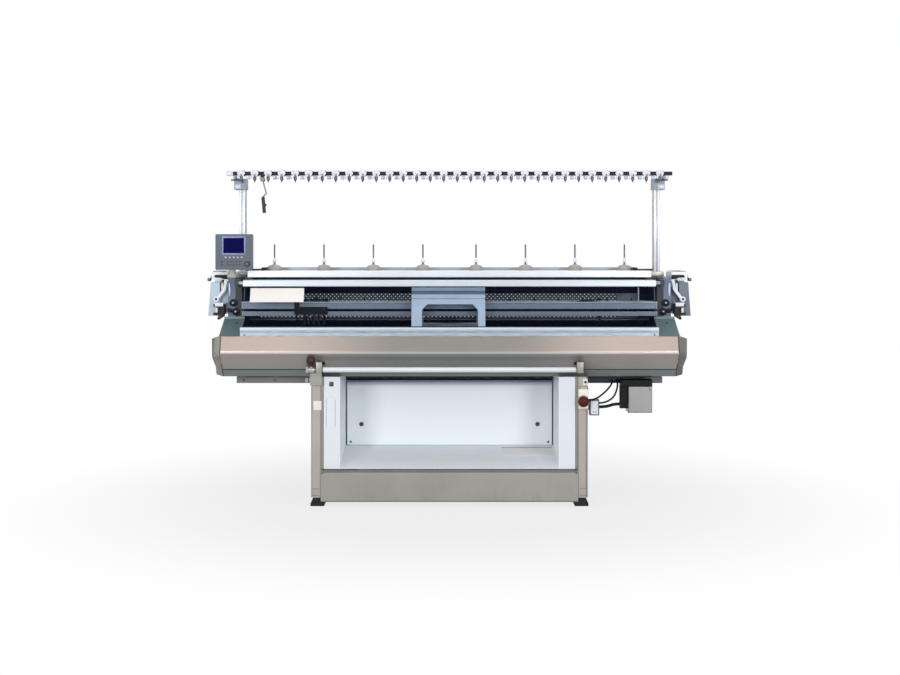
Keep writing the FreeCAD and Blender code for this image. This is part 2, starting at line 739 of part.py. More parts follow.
def long_carrier(x0, face, out):
    """Long bar of the first feeder, with the row of strikers below it."""
    bar = block(x0, x0 + CARRIER_W, out, face, CARRIER_Z, CARRIER_Z + CARRIER_H)
    strikers = []
    for i in range(STRIKER_COUNT):
        x = x0 + CARRIER_W - (i + 1) * STRIKER_PITCH
        strikers.append(block(x, x + FINGER_W, out, out + FINGER_T, TIP_Z, CARRIER_Z + 1))
    return bar.fuse(strikers)


def yarn_feeder(index):
    """Feeder block on one face of a rail, with its bent finger down to the needles."""
    lane = index - (len(FEEDER_X) - 1) / 2.0
    rail_y = MID_Y + FEEDER_RAIL_PITCH * (index // 2 - 1)
    side = -1 if index % 2 == 0 else 1
    face = rail_y + side * (FEEDER_RAIL_W / 2 + GAP)
    out = face + side * FEEDER_T
    lip = rail_y + side * GAP
    top = FEEDER_RAIL_TOP + FEEDER_TOP
    low = FEEDER_RAIL_Z - FEEDER_DROP
    x = FEEDER_X[index]
    body = prism_x([(face, low), (out, low), (out, top), (lip, top), (lip, FEEDER_RAIL_TOP + GAP),
                    (face, FEEDER_RAIL_TOP + GAP)], x - FEEDER_W / 2, x + FEEDER_W / 2)
    tip_y = MID_Y + lane * LANE + side * FINGER_T / 2
    rank = (len(FEEDER_X) - 1) / 2.0 - abs(lane)
    elbow = low - FINGER_DROP + rank * FINGER_STEP
    knee = TIP_Z + FINGER_KNEE + rank * FINGER_STEP
    line = [(out, low + FINGER_ROOT), (out, elbow), (tip_y, knee), (tip_y, TIP_Z)]
    feeder = body.fuse(prism_x(folded(line, -side * FINGER_T), x - FINGER_W / 2, x + FINGER_W / 2))
    if index == 0:
        feeder = feeder.fuse(long_carrier(x - FEEDER_W / 2, face, out))
    return feeder.removeSplitter()


# ---- carriage and drive ----
def carriage_bow():
    """Bow over both beds: legs, roof, arch openings, and the arm down to the belt."""
    x0 = CARRIAGE_X - CARRIAGE_W / 2
    x1 = CARRIAGE_X + CARRIAGE_W / 2
    lip_z = FOOT_Z - BOW_LIP
    lip_u = RAIL_U + RAIL_W / 2 + GAP
    roof = BOW_TOP - BOW_ROOF
    shoulder_z = BOW_TOP - BOW_CREST_H
    foot = [(BEAM_U, lip_z), (BOW_OUT_U, BOW_HIP_Z), (BOW_OUT_U, BOW_WAIST_Z), (BOW_SHOULDER_U, shoulder_z),
            (BOW_CREST_U, BOW_TOP)]
    inner = [(BOW_IN_TOP_U, roof), (BOW_IN_SHOULDER_U, roof - ARCH_CHAMFER), (SLOPE_HALF, BOW_WAIST_Z),
             (SLOPE_HALF, FOOT_Z), (lip_u, FOOT_Z), (lip_u, lip_z)]
    outline = [(-u, z) for u, z in foot] + foot[::-1] + inner[::-1] + [(-u, z) for u, z in inner]
    bow = bed_side(outline, x0, x1, 1)
    arch_x0 = x0 + ARCH_LEG_L
    arch_x1 = x1 - ARCH_LEG_R
    arch = [(arch_x0, ARCH_SILL), (arch_x1, ARCH_SILL), (arch_x1, ARCH_TOP - ARCH_CHAMFER),
            (arch_x1 - ARCH_CHAMFER, ARCH_TOP), (arch_x0 + ARCH_CHAMFER, ARCH_TOP),
            (arch_x0, ARCH_TOP - ARCH_CHAMFER)]
    opening = prism_y(arch, MID_Y - 2 * BOW_OUT_U, MID_Y + 2 * BOW_OUT_U)
    slant = (BOW_OUT_U - BOW_SHOULDER_U) / (shoulder_z - BOW_WAIST_Z)
    bands = []
    for rise in BAND_RISES:
        z = ARCH_TOP + rise
        u = BOW_OUT_U - slant * (z - BOW_WAIST_Z)
        top_u = u - slant * BAND_H
        band = [(u - BAND_DEEP, z), (u + BAND_DEEP, z), (top_u + BAND_DEEP, z + BAND_H),
                (top_u - BAND_DEEP, z + BAND_H)]
        bands.append(bed_side(band, x0 - 1, x1 + 1, -1))
    bow = bow.cut([opening] + bands)
    plate_back = PULLEY_PLATE_Y + PULLEY_PLATE_T
    belt_y = plate_back + GAP + PULLEY_W / 2
    arm = block(CARRIAGE_X - BELT_ARM_W / 2, CARRIAGE_X + BELT_ARM_W / 2, MID_Y + BOW_OUT_U - BAND_H,
                belt_y + BELT_W / 2, BELT_TOP + GAP, BELT_TOP + GAP + 2 * BAND_H)
    return bow.fuse(arm).removeSplitter()


def cam_boxes():
    """Cam boxes inside the legs, running just over the needle beds."""
    x0 = CARRIAGE_X - CARRIAGE_W / 2 + ARCH_CHAMFER / 2
    x1 = CARRIAGE_X + CARRIAGE_W / 2 - ARCH_CHAMFER / 2
    line = BED_EDGE_Z + SLOT_U + CAM_CLEAR
    outline = [(SLOPE_HALF, line - SLOPE_HALF), (CAM_INNER_U, line - CAM_INNER_U),
               (CAM_INNER_U, line - CAM_INNER_U + CAM_T), (CAM_INNER_U + CAM_T, line - CAM_INNER_U + CAM_T),
               (SLOPE_HALF, line - SLOPE_HALF + CAM_BACK_H)]
    return group([bed_side(outline, x0, x1, side) for side in (-1, 1)])


def pulley(side):
    """Toothed belt pulley with its flanges and shaft."""
    y0 = PULLEY_PLATE_Y + PULLEY_PLATE_T + GAP
    flange = (PULLEY_W - BELT_W) / 2 - GAP
    rim = PULLEY_R + BELT_T
    hub = PULLEY_HUB_R
    outline = [(0, -PULLEY_PLATE_T), (PULLEY_SHAFT_R, -PULLEY_PLATE_T), (PULLEY_SHAFT_R, 0), (rim, 0),
               (rim, flange), (PULLEY_R, flange), (PULLEY_R, PULLEY_W - flange), (rim, PULLEY_W - flange),
               (rim, PULLEY_W), (hub, PULLEY_W), (hub, PULLEY_W + flange), (0, PULLEY_W + flange)]
    wheel = turned(outline, V(side * PULLEY_X, y0, PULLEY_Z), V(0, 1, 0))
    holes = []
    reach = (PULLEY_R + hub) / 2
    for i in range(PULLEY_HOLES):
        angle = 2 * math.pi * (i + 0.5) / PULLEY_HOLES
        x = side * PULLEY_X + reach * math.cos(angle)
        z = PULLEY_Z + reach * math.sin(angle)
        holes.append(rod(PULLEY_HOLE_R, V(x, y0 - 1, z), V(x, y0 + PULLEY_W + 1, z)))
    return wheel.cut(holes)


def drive_belt():
    """Closed belt round both pulleys."""
    y0 = PULLEY_PLATE_Y + PULLEY_PLATE_T + GAP + (PULLEY_W - BELT_W) / 2
    inner_r = PULLEY_R + GAP

    def loop(radius):
        edges = [Part.LineSegment(V(-PULLEY_X, y0, PULLEY_Z + radius), V(PULLEY_X, y0, PULLEY_Z + radius)),
                 Part.Arc(V(PULLEY_X, y0, PULLEY_Z + radius), V(PULLEY_X + radius, y0, PULLEY_Z),
                          V(PULLEY_X, y0, PULLEY_Z - radius)),
                 Part.LineSegment(V(PULLEY_X, y0, PULLEY_Z - radius), V(-PULLEY_X, y0, PULLEY_Z - radius)),
                 Part.Arc(V(-PULLEY_X, y0, PULLEY_Z - radius), V(-PULLEY_X - radius, y0, PULLEY_Z),
                          V(-PULLEY_X, y0, PULLEY_Z + radius))]
        return Part.Face(Part.Wire([edge.toShape() for edge in edges])).extrude(V(0, BELT_W, 0))

    return loop(inner_r + BELT_T).cut(loop(inner_r))


# ---- ends and covers ----
def end_frames():
    """Cast end frame: ribbed plate, hinge arm, lug under the top rail, pulley plate."""
    front_z = CORNER_Z + CORNER_SLOPE * (END_FRONT_Y - COVER_TOP_Y) - CORNER_DROP
    step_z = CORNER_Z + CORNER_RISE - CORNER_DROP
    outline = [(END_FRONT_Y, END_Z), (END_FRONT_Y, front_z), (CORNER_BACK_Y, step_z), (END_POST_Y, step_z),
               (END_POST_Y, END_TOP), (END_BACK_Y, END_TOP), (END_BACK_Y, REAR_TOP_Z - SHEET),
               (END_TAIL_Y, REAR_SHOULDER_Z - 2 * SHEET), (END_TAIL_Y, END_Z)]
    plate = prism_x(outline, END_IN, END_OUT)
    rim = END_RIM
    low = [(END_FRONT_Y + rim, END_Z + rim), (END_FRONT_Y + rim, front_z - rim),
           (MID_Y - rim / 2, step_z - rim / 2), (MID_Y - rim / 2, END_Z + rim)]
    high = [(MID_Y + rim / 2, END_Z + rim), (MID_Y + rim / 2, END_TOP - rim),
            (END_BACK_Y - rim, END_TOP - rim), (END_BACK_Y - rim, REAR_TOP_Z - rim),
            (END_TAIL_Y - rim, REAR_SHOULDER_Z - rim), (END_TAIL_Y - rim, END_Z + rim)]
    pockets = [prism_x(points, END_OUT - END_POCKET, END_OUT + 1) for points in (low, high)]
    frame = plate.cut(pockets)
    half = GUARD_TOP_D / 2
    arm = block(END_IN, END_IN + HINGE_ARM_W, GUARD_TOP_Y - half, END_POST_Y + 1, GUARD_TOP_Z - half,
                GUARD_TOP_Z + half)
    lug = block(END_IN - LUG_IN, END_IN + 1, TOP_RAIL_Y, TOP_RAIL_Y + TOP_RAIL_D, END_TOP - LUG_H, END_TOP)
    z0 = PULLEY_Z - PULLEY_PLATE_H / 2
    plate_y1 = PULLEY_PLATE_Y + PULLEY_PLATE_T
    bracket = block(PULLEY_PLATE_X, END_IN + 1, PULLEY_PLATE_Y, plate_y1, z0, z0 + PULLEY_PLATE_H)
    frame = frame.fuse([arm, lug, bracket]).removeSplitter()
    pin_hole = rod(HINGE_PIN_R + FIT, V(END_IN - 1, GUARD_TOP_Y, GUARD_TOP_Z),
                   V(END_IN + HINGE_ARM_W + 1, GUARD_TOP_Y, GUARD_TOP_Z))
    shaft_hole = rod(PULLEY_SHAFT_R + FIT, V(PULLEY_X, PULLEY_PLATE_Y - 1, PULLEY_Z),
                     V(PULLEY_X, plate_y1 + 1, PULLEY_Z))
    return group(both(frame.cut([pin_hole, shaft_hole])))


def front_cover():
    """Folded front cover with its rounded bulge, and the strip below the seam."""
    top = COVER_TOP_Z
    upper = [(COVER_TOP_Y + COVER_FLANGE, top), (COVER_TOP_Y, top), (COVER_BULGE_Y, COVER_BULGE_Z),
             (COVER_LOW_Y, COVER_LOW_Z)]
    half = COVER_HALF - GAP
    shell = prism_x(folded(upper, SHEET), -half, half)
    inner = (COVER_BULGE_Y + SHEET, COVER_BULGE_Z)
    shell = round_x(shell, [upper[2]], COVER_BULGE_R)
    shell = round_x(shell, [inner], COVER_BULGE_R - SHEET)
    fall = (COVER_LOW_Z - BEAM_Z) / (COVER_FOOT_Y - COVER_LOW_Y)
    start_y = COVER_LOW_Y + 2 * GAP
    beam_face = MID_Y - BEAM_U
    lower = [(start_y, COVER_LOW_Z - 2 * GAP * fall - GAP), (COVER_FOOT_Y, BEAM_Z), (beam_face - GAP, BEAM_Z)]
    return group(shell, prism_x(folded(lower, SHEET), -half, half))


def end_caps():
    """Faceted cap at each end of the front cover."""
    outline = [(COVER_TOP_Y, COVER_TOP_Z), (COVER_BULGE_Y, COVER_BULGE_Z + CAP_INSET),
               (COVER_BULGE_Y, COVER_BULGE_Z - CAP_INSET), (COVER_LOW_Y, COVER_LOW_Z), (COVER_FOOT_Y, BEAM_Z),
               (CAP_BACK_Y, BEAM_Z), (CAP_BACK_Y, COVER_TOP_Z)]
    middle_y = (COVER_BULGE_Y + CAP_BACK_Y) / 2
    middle_z = (COVER_TOP_Z + BEAM_Z) / 2
    lean = (CAP_TOP_X - CAP_FOOT_X) / (COVER_TOP_Z - BEAM_Z)
    near = [V(COVER_HALF, y, z) for y, z in outline]
    far = []
    for y, z in outline:
        inset_y = y + math.copysign(CAP_INSET, middle_y - y)
        inset_z = z + math.copysign(CAP_INSET, middle_z - z)
        far.append(V(CAP_FOOT_X + lean * (inset_z - BEAM_Z), inset_y, inset_z))
    wires = [Part.makePolygon(points + points[:1]) for points in (near, far)]
    return group(both(Part.makeLoft(wires, True, True)))


def corner_panels():
    """Sloped panel between the front cover and each end frame, with its turned-up back edge."""
    line = [(COVER_TOP_Y, CORNER_Z), (CORNER_BACK_Y, CORNER_Z + CORNER_RISE),
            (CORNER_BACK_Y, CORNER_Z + CORNER_RISE + 4 * SHEET)]
    return group(both(prism_x(folded(line, -SHEET), GUARD_HALF + 2 * GAP, COVER_HALF + CORNER_OVER)))


def rear_cover():
    """Bulging back cover from the rear screen down to the bed beam."""
    top_y = END_BACK_Y + 2 * GAP + 2 * SHEET
    line = [(top_y, REAR_TOP_Z + 4 * SHEET), (top_y, REAR_TOP_Z),
            (REAR_SHOULDER_Y, REAR_SHOULDER_Z), (REAR_BACK_Y, REAR_HIGH_Z), (REAR_BACK_Y, REAR_LOW_Z),
            (REAR_FOOT_Y, BEAM_Z), (MID_Y + BEAM_U + GAP, BEAM_Z)]
    half = COVER_HALF - GAP
    return prism_x(folded(line, -SHEET), -half, half)


def mesh_panel():
    """Rear screen in its folded border."""
    y0 = END_BACK_Y + GAP
    plate = block(-MESH_HALF, MESH_HALF, y0, y0 + SHEET, REAR_TOP_Z, MESH_TOP)
    return plate


def cover_rails():
    """The two aluminium rails of the safety cover, with their hinge pins."""
    y = GUARD_LOW_Y
    half = GUARD_LOW_D / 2
    groove = GUARD_GROOVE
    z0 = GUARD_LOW_Z
    z1 = GUARD_LOW_TOP
    z_mid = (z0 + z1) / 2
    section = [(y - half, z0), (y + half, z0), (y + half, z1), (y - half + groove, z1),
               (y - half, z1 - groove), (y - half, z_mid + groove), (y - half + groove, z_mid + groove / 2),
               (y - half + groove, z_mid - groove / 2), (y - half, z_mid - groove)]
    low = prism_x(section, -GUARD_HALF, GUARD_HALF)
    y = GUARD_TOP_Y
    half = GUARD_TOP_D / 2
    z0 = GUARD_TOP_LOW
    z1 = z0 + GUARD_TOP_H
    section = [(y - half, z0), (y + half, z0), (y + half, z1), (y - half + groove, z1),
               (y - half, z1 - groove)]
    top = prism_x(section, -GUARD_HALF, GUARD_HALF)
    pin_end = END_IN + HINGE_ARM_W
    pin = rod(HINGE_PIN_R, V(GUARD_HALF, y, GUARD_TOP_Z), V(pin_end, y, GUARD_TOP_Z))
    boss = rod(2 * HINGE_PIN_R, V(GUARD_HALF, y, GUARD_TOP_Z), V(END_IN - GAP, y, GUARD_TOP_Z))
    return group(low, top.fuse(both(pin) + both(boss)).removeSplitter())


def cover_window():
    """Tinted pane between the two rails."""
    line = [(GUARD_LOW_Y, GUARD_LOW_TOP), (GUARD_TOP_Y - GUARD_TOP_D / 4, GUARD_TOP_LOW)]
    y0, z0 = line[0]
    y1, z1 = line[1]
    outline = [(y0, z0), (y0 + PANE_T, z0), (y1 + PANE_T, z1), (y1, z1)]
    return prism_x(outline, -PANE_HALF, PANE_HALF)


# ---- top rail, shelf and cone stands ----
def top_rail():
    y0 = TOP_RAIL_Y
    y1 = y0 + TOP_RAIL_D
    z0 = END_TOP
    third = TOP_RAIL_H / 3
    deep = TOP_RAIL_GROOVE
    outline = [(y0, z0), (y1, z0), (y1, TOP_RAIL_TOP), (y0, TOP_RAIL_TOP), (y0, z0 + 2 * third),
               (y0 + deep, z0 + 2 * third), (y0 + deep, z0 + third), (y0, z0 + third)]
    return prism_x(outline, -GUARD_HALF, GUARD_HALF)


def cone_shelf():
    """Folded shelf with a skirt and a back lip, closed by its end caps."""
    back = END_BACK_Y
    line = [(SHELF_Y, SHELF_Z - SHELF_SKIRT), (SHELF_Y, SHELF_Z), (back, SHELF_Z)]
    sheet = prism_x(folded(line, -SHEET), -SHELF_HALF, SHELF_HALF)
    lip = block(-SHELF_HALF, SHELF_HALF, back - SHEET, back, SHELF_Z - SHEET, SHELF_Z + SHELF_LIP)
    cap = block(SHELF_HALF, SHELF_HALF + SHELF_CAP, SHELF_Y, back, SHELF_Z - SHELF_SKIRT,
                SHELF_Z + SHELF_LIP / 2)
    return group(sheet.fuse(lip).removeSplitter(), both(cap))


def cone_stands():
    """Eight stands: a dished base, and a spindle with its small cone."""
    solids = []
    base_outline = [(0, 0), (CONE_BASE_R, 0), (CONE_BASE_R, CONE_BASE_H / 4),
                    (CONE_BASE_R * 0.8, CONE_BASE_H / 2), (CONE_HUB_R, CONE_BASE_H * 0.7),
                    (CONE_HUB_R, CONE_BASE_H), (0, CONE_BASE_H)]
    cone_low = SPINDLE_CONE_Z
    spindle_outline = [(0, CONE_BASE_H), (SPINDLE_R, CONE_BASE_H), (SPINDLE_R, cone_low),
                       (SPINDLE_CONE_R, cone_low), (SPINDLE_R, cone_low + 2 * SPINDLE_CONE_R),
                       (SPINDLE_R, SPINDLE_H), (0, SPINDLE_H)]
    for i in range(CONE_PER_SIDE):
        for side in (-1, 1):
            place = V(side * (CONE_FIRST + i * CONE_PITCH), CONE_Y, SHELF_Z)
            solids.append(turned(base_outline, place))
            solids.append(turned(spindle_outline, place))
    return group(solids)


# ---- masts and yarn rail ----
def masts():
    """Grooved mast, its foot and its clamp at each end."""
    x0 = MAST_X - MAST_W / 2
    x1 = MAST_X + MAST_W / 2
    y0 = MAST_Y
    y1 = MAST_Y + MAST_D
    top = CLAMP_Z + CLAMP_H
    mast = block(x0, x1, y0, y1, MAST_FOOT_TOP, top)
    grooves = []
    for y in (y0 - 1, y1 - MAST_GROOVE):
        grooves.append(block(MAST_X - MAST_GROOVE_W / 2, MAST_X + MAST_GROOVE_W / 2, y, y + MAST_GROOVE + 1,
                             MAST_FOOT_TOP - 1, top + 1))
    mast = mast.cut(grooves)
    middle_y = (y0 + y1) / 2
    foot = block(MAST_X - MAST_FOOT_W / 2, MAST_X + MAST_FOOT_W / 2, middle_y - MAST_FOOT_D / 2,
                 middle_y + MAST_FOOT_D / 2, END_TOP, MAST_FOOT_TOP)
    foot = foot.makeFillet(SHEET, [e for e in foot.Edges if e.BoundBox.ZMin > MAST_FOOT_TOP - 0.01])
    clamp_x1 = x1 + CLAMP_OUT
    clamp = block(x0 - CLAMP_IN, clamp_x1, y0 - CLAMP_WALL, y1 + CLAMP_WALL, CLAMP_Z, top)
    clamp = clamp.cut(block(x0, x1, y0, y1, CLAMP_Z - 1, top + 1))
    neck = block(clamp_x1 - NECK_W, clamp_x1, YARN_RAIL_Y - YARN_RAIL_W / 2, middle_y, top, YARN_RAIL_Z)
    return group(both(mast), both(foot), both(clamp.fuse(neck).removeSplitter()))


def yarn_rail():
    y = YARN_RAIL_Y
    half = YARN_RAIL_W / 2
    bar = block(-YARN_RAIL_HALF, YARN_RAIL_HALF, y - half, y + half, YARN_RAIL_Z, YARN_RAIL_Z + YARN_RAIL_H)
    slot = block(-YARN_RAIL_HALF - 1, YARN_RAIL_HALF + 1, y + half - SHEET, y + half + 1,
                 YARN_RAIL_Z + YARN_RAIL_H / 3, YARN_RAIL_Z + 2 * YARN_RAIL_H / 3)
    return bar.cut(slot)


def tension_units():
    """Clamp over the yarn rail with a forked guide below, repeated along the rail."""
    y = YARN_RAIL_Y
    rail = YARN_RAIL_W / 2
    z0 = UNIT_BOTTOM
    z1 = YARN_RAIL_Z + YARN_RAIL_H + UNIT_TOP
    middle_z = (z0 + z1) / 2
    half = UNIT_W / 2
    end = UNIT_END_W / 2
    outline = [(-end, z0), (end, z0), (half, middle_z), (end, z1), (-end, z1), (-half, middle_z)]
    prong = HOOK_W / 2
    thick = HOOK_T
    drop = z0 - HOOK_DROP
    root = z0 + HOOK_ROOT + thick
    fork = [(-prong, root), (-prong * 0.7, drop + prong * 0.4), (-thick / 2, drop), (thick / 2, drop),
            (prong * 0.7, drop + prong * 0.4), (prong, root), (prong - thick, root),
            (prong * 0.5, drop + prong * 0.6), (0, drop + thick * 1.4), (-prong * 0.5, drop + prong * 0.6),
            (-prong + thick, root)]
    solids = []
    for i in range(UNIT_COUNT):
        x = UNIT_SHIFT + (i - (UNIT_COUNT - 1) / 2.0) * UNIT_PITCH
        clamp = prism_y([(x + dx, z) for dx, z in outline], y - UNIT_D / 2, y + UNIT_D / 2)
        clamp = clamp.cut(block(x - UNIT_W, x + UNIT_W, y - rail, y + rail, YARN_RAIL_Z,
                                YARN_RAIL_Z + YARN_RAIL_H))
        guide_y = y - UNIT_D / 2 - thick
        guide = prism_y([(x + dx, z) for dx, z in fork], guide_y, guide_y + thick)
        solids.extend([clamp, guide])
    return group(solids)


def stop_arm():
    """Hanging arm: hub under the yarn rail, cranked rod and grip."""
    y = YARN_RAIL_Y
    face = y - YARN_RAIL_W / 2 - GAP
    plane = face - STOP_HUB_W / 2
    hub = rod(STOP_HUB_R, V(STOP_X, face, STOP_HUB_Z), V(STOP_X, face - STOP_HUB_W, STOP_HUB_Z))
    neck = V(STOP_X, plane, STOP_HUB_Z)
    bend = V(STOP_X + STOP_BEND_X, plane, STOP_HUB_Z - STOP_BEND_Z)
    top = V(STOP_X + STOP_BEND_X / 8, plane, bend.z - STOP_BEND_X)
    end = V(STOP_X + STOP_BEND_X / 2, plane, top.z - STOP_GRIP_L)
    grip = rod(STOP_GRIP_R, top, end)
    knob_z = (top.z + end.z) / 2
    knob = rod(STOP_GRIP_R * 0.7, V(top.x, plane, knob_z), V(top.x + 2 * STOP_GRIP_R, plane, knob_z))
    ball = Part.makeSphere(STOP_ROD_R, bend)
    return hub.fuse([rod(STOP_ROD_R, neck, bend), ball, rod(STOP_ROD_R, bend, top), grip, knob])


def stop_pivot_lug():
    """Lug under the yarn rail that carries the hanging arm's hub."""
    y = YARN_RAIL_Y
    half = YARN_RAIL_W / 2
    return block(STOP_X - STOP_HUB_R, STOP_X + STOP_HUB_R, y - half, y + half, STOP_HUB_Z - STOP_HUB_R,
                 YARN_RAIL_Z)


# ---- control panel ----
def panel_case():
    x0 = PANEL_X - PANEL_W / 2
    case = block(x0, x0 + PANEL_W, PANEL_Y, PANEL_Y + PANEL_D, PANEL_Z, PANEL_Z + PANEL_H)
    upright = [e for e in case.Edges if abs(e.BoundBox.YLength - PANEL_D) < 0.01]
    case = case.makeFillet(PANEL_ROUND, upright)
    back = [e for e in case.Edges if e.BoundBox.YMin > PANEL_Y + PANEL_D - 0.01]
    case = case.makeChamfer(PANEL_ROUND / 2, back)
    sx0 = SCREEN_X - SCREEN_W / 2
    well = block(sx0 - GAP, sx0 + SCREEN_W + GAP, PANEL_Y - 1, PANEL_Y + SCREEN_T + GAP, SCREEN_Z - GAP,
                 SCREEN_Z + SCREEN_H + GAP)
    dial_bore = rod(DIAL_STEM_R + FIT, V(DIAL_X, PANEL_Y - 1, DIAL_Z),
                    V(DIAL_X, PANEL_Y + DIAL_STEM_L + 1, DIAL_Z))
    post_bore = rod(POST_R + FIT, V(POST_X, POST_Y, PANEL_Z - 1),
                    V(POST_X, POST_Y, PANEL_Z + POST_DEEP + GAP))
    keys = []
    rows = [(SOFT_KEY_Z, SOFT_KEY_PITCH)] + [(z, KEY_PITCH) for z in KEY_ROW_Z]
    for z, pitch in rows:
        for i in range(KEY_COLUMNS):
            x = SCREEN_X + (i - (KEY_COLUMNS - 1) / 2.0) * pitch
            keys.append(block(x - KEY_W / 2, x + KEY_W / 2, PANEL_Y - KEY_PROUD, PANEL_Y + KEY_PROUD, z,
                              z + KEY_H))
    return case.fuse(keys).cut([well, dial_bore, post_bore])


def panel_screen():
    x0 = SCREEN_X - SCREEN_W / 2
    return block(x0, x0 + SCREEN_W, PANEL_Y, PANEL_Y + SCREEN_T, SCREEN_Z, SCREEN_Z + SCREEN_H)


def panel_dial():
    outline = [(0, -DIAL_STEM_L), (DIAL_STEM_R, -DIAL_STEM_L), (DIAL_STEM_R, GAP), (DIAL_R, GAP),
               (DIAL_R * 0.9, DIAL_H - 2), (DIAL_R * 0.8, DIAL_H), (DIAL_R * 0.6, DIAL_H),
               (DIAL_R * 0.5, DIAL_H - 2), (0, DIAL_H - 2)]
    return turned(outline, V(DIAL_X, PANEL_Y, DIAL_Z), V(0, -1, 0))


def panel_arm():
    """Arm on the end frame with the post that the panel turns on."""
    x0 = POST_X - ARM_W / 2
    arm = block(x0, x0 + ARM_W, POST_Y - ARM_W / 2, MID_Y, END_TOP, END_TOP + ARM_H)
    front = [e for e in arm.Edges if e.BoundBox.ZLength > ARM_H / 2 and e.CenterOfMass.y < POST_Y]
    arm = arm.makeFillet(ARM_W / 3, front)
    collar = rod(POST_R * 1.6, V(POST_X, POST_Y, END_TOP), V(POST_X, POST_Y, PANEL_Z - GAP))
    post = rod(POST_R, V(POST_X, POST_Y, END_TOP), V(POST_X, POST_Y, PANEL_Z + POST_DEEP))
    return arm.fuse([collar, post]).removeSplitter()


# ---- operation bar and switches ----
def cover_front_y(z):
    """Y of the front cover's outer face at height z, below the bulge."""
    if z >= COVER_LOW_Z:
        share = (z - COVER_LOW_Z) / (COVER_BULGE_Z - COVER_LOW_Z)
        return COVER_LOW_Y + share * (COVER_BULGE_Y - COVER_LOW_Y)
    share = (z - BEAM_Z) / (COVER_LOW_Z - BEAM_Z)
    return COVER_FOOT_Y + share * (COVER_LOW_Y - COVER_FOOT_Y)


def bar_brackets():
    """Two cheeks at the left and one at the right that carry the bar, and the hanger below the knob."""
    z0 = BAR_Z - BAR_R - SHEET
    nose = BAR_Y - CHEEK_NOSE + SHEET
    outline = [(nose, z0 + SHEET), (nose + SHEET, z0), (cover_front_y(z0) - GAP, z0),
               (cover_front_y(COVER_LOW_Z) - GAP, COVER_LOW_Z), (cover_front_y(CHEEK_TOP) - GAP, CHEEK_TOP),
               (nose, CHEEK_TOP)]
    cheeks = []
    inner = BAR_HALF + BRACKET_GAP
    for x in (-inner - CHEEK_W, -inner - CHEEK_W - CHEEK_PITCH, inner):
        bore = rod(BAR_SHAFT_R + FIT, V(x - 1, BAR_Y, BAR_Z), V(x + CHEEK_W + 1, BAR_Y, BAR_Z))
        cheeks.append(prism_x(outline, x, x + CHEEK_W).cut(bore))
    x1 = -inner
    hanger = block(x1 - HANGER_W, x1, COLUMN_Y - HANGER_T, COLUMN_Y, HANGER_Z, z0)
    front = [e for e in hanger.Edges if e.BoundBox.YMax < COLUMN_Y - HANGER_T + 0.01]
    hanger = hanger.makeFillet(SHEET, front)
    return group(cheeks, hanger)


def operation_bar():
    """Round bar with its shaft ends, and the arm that carries the knob."""
    inner = BAR_HALF + BRACKET_GAP
    left_end = -inner - CHEEK_W - CHEEK_PITCH
    right_end = inner + CHEEK_W
    bar = rod(BAR_R, V(-BAR_HALF, BAR_Y, BAR_Z), V(BAR_HALF, BAR_Y, BAR_Z))
    shaft = rod(BAR_SHAFT_R, V(left_end, BAR_Y, BAR_Z), V(right_end, BAR_Y, BAR_Z))
    clamp = rod(BAR_R, V(KNOB_X - BAR_R, BAR_Y, BAR_Z), V(KNOB_X + BAR_R, BAR_Y, BAR_Z))
    ball = V(KNOB_X, KNOB_Y, KNOB_Z)
    stem = rod(KNOB_STEM_R, V(KNOB_X, BAR_Y, BAR_Z), ball)
    knob = Part.makeSphere(KNOB_R, ball)
    return bar.fuse([shaft, clamp, stem, knob]).removeSplitter()


def switch_boxes():
    """Emergency stop box and socket box on the right column, and the bore for the stop button."""
    x0 = SWITCH_X - SWITCH_W / 2
    y0 = COLUMN_Y - SWITCH_D
    box = block(x0, x0 + SWITCH_W, y0, COLUMN_Y, SWITCH_Z, SWITCH_Z + SWITCH_H)
    front = [e for e in box.Edges if e.BoundBox.YMax < y0 + 0.01 or e.BoundBox.YLength > SWITCH_D - 1]
    box = box.makeFillet(SHEET, front)
    bore = rod(STOP_STEM_R + GAP, V(SWITCH_X, y0 - 1, STOP_Z), V(SWITCH_X, COLUMN_Y - 2 * SHEET, STOP_Z))
    sx = SOCKET_X
    body = block(sx, sx + SOCKET_W, COLUMN_Y, COLUMN_Y + SOCKET_D, SOCKET_Z, SOCKET_Z + SOCKET_H)
    recess = block(sx + SHEET * 2, sx + SOCKET_W - SHEET * 2, COLUMN_Y - 1, COLUMN_Y + SHEET,
                   SOCKET_Z + SHEET * 2, SOCKET_Z + SOCKET_H - SHEET * 2)
    spacer = block(COLUMN_OUT, sx + 1, COLUMN_Y + SOCKET_D / 3, COLUMN_Y + 2 * SOCKET_D / 3,
                   SOCKET_Z + SOCKET_H / 3, SOCKET_Z + 2 * SOCKET_H / 3)
    return group(box.cut(bore), body.cut(recess).fuse(spacer).removeSplitter())


def stop_button():
    """Mushroom button with its stem in the switch box."""
    face = COLUMN_Y - SWITCH_D
    r = STOP_R
    lift = STOP_TRAVEL + 1.0
    stem_l = SWITCH_D - 2 * SHEET - STOP_TRAVEL - 2.0
    outline = [(0, -stem_l), (STOP_STEM_R, -stem_l), (STOP_STEM_R, lift), (r, lift),
               (r, lift + STOP_HEAD * 0.4), (r * 0.8, lift + STOP_HEAD * 0.8), (r * 0.4, lift + STOP_HEAD),
               (0, lift + STOP_HEAD)]
    return turned(outline, V(SWITCH_X, face, STOP_Z), V(0, -1, 0))


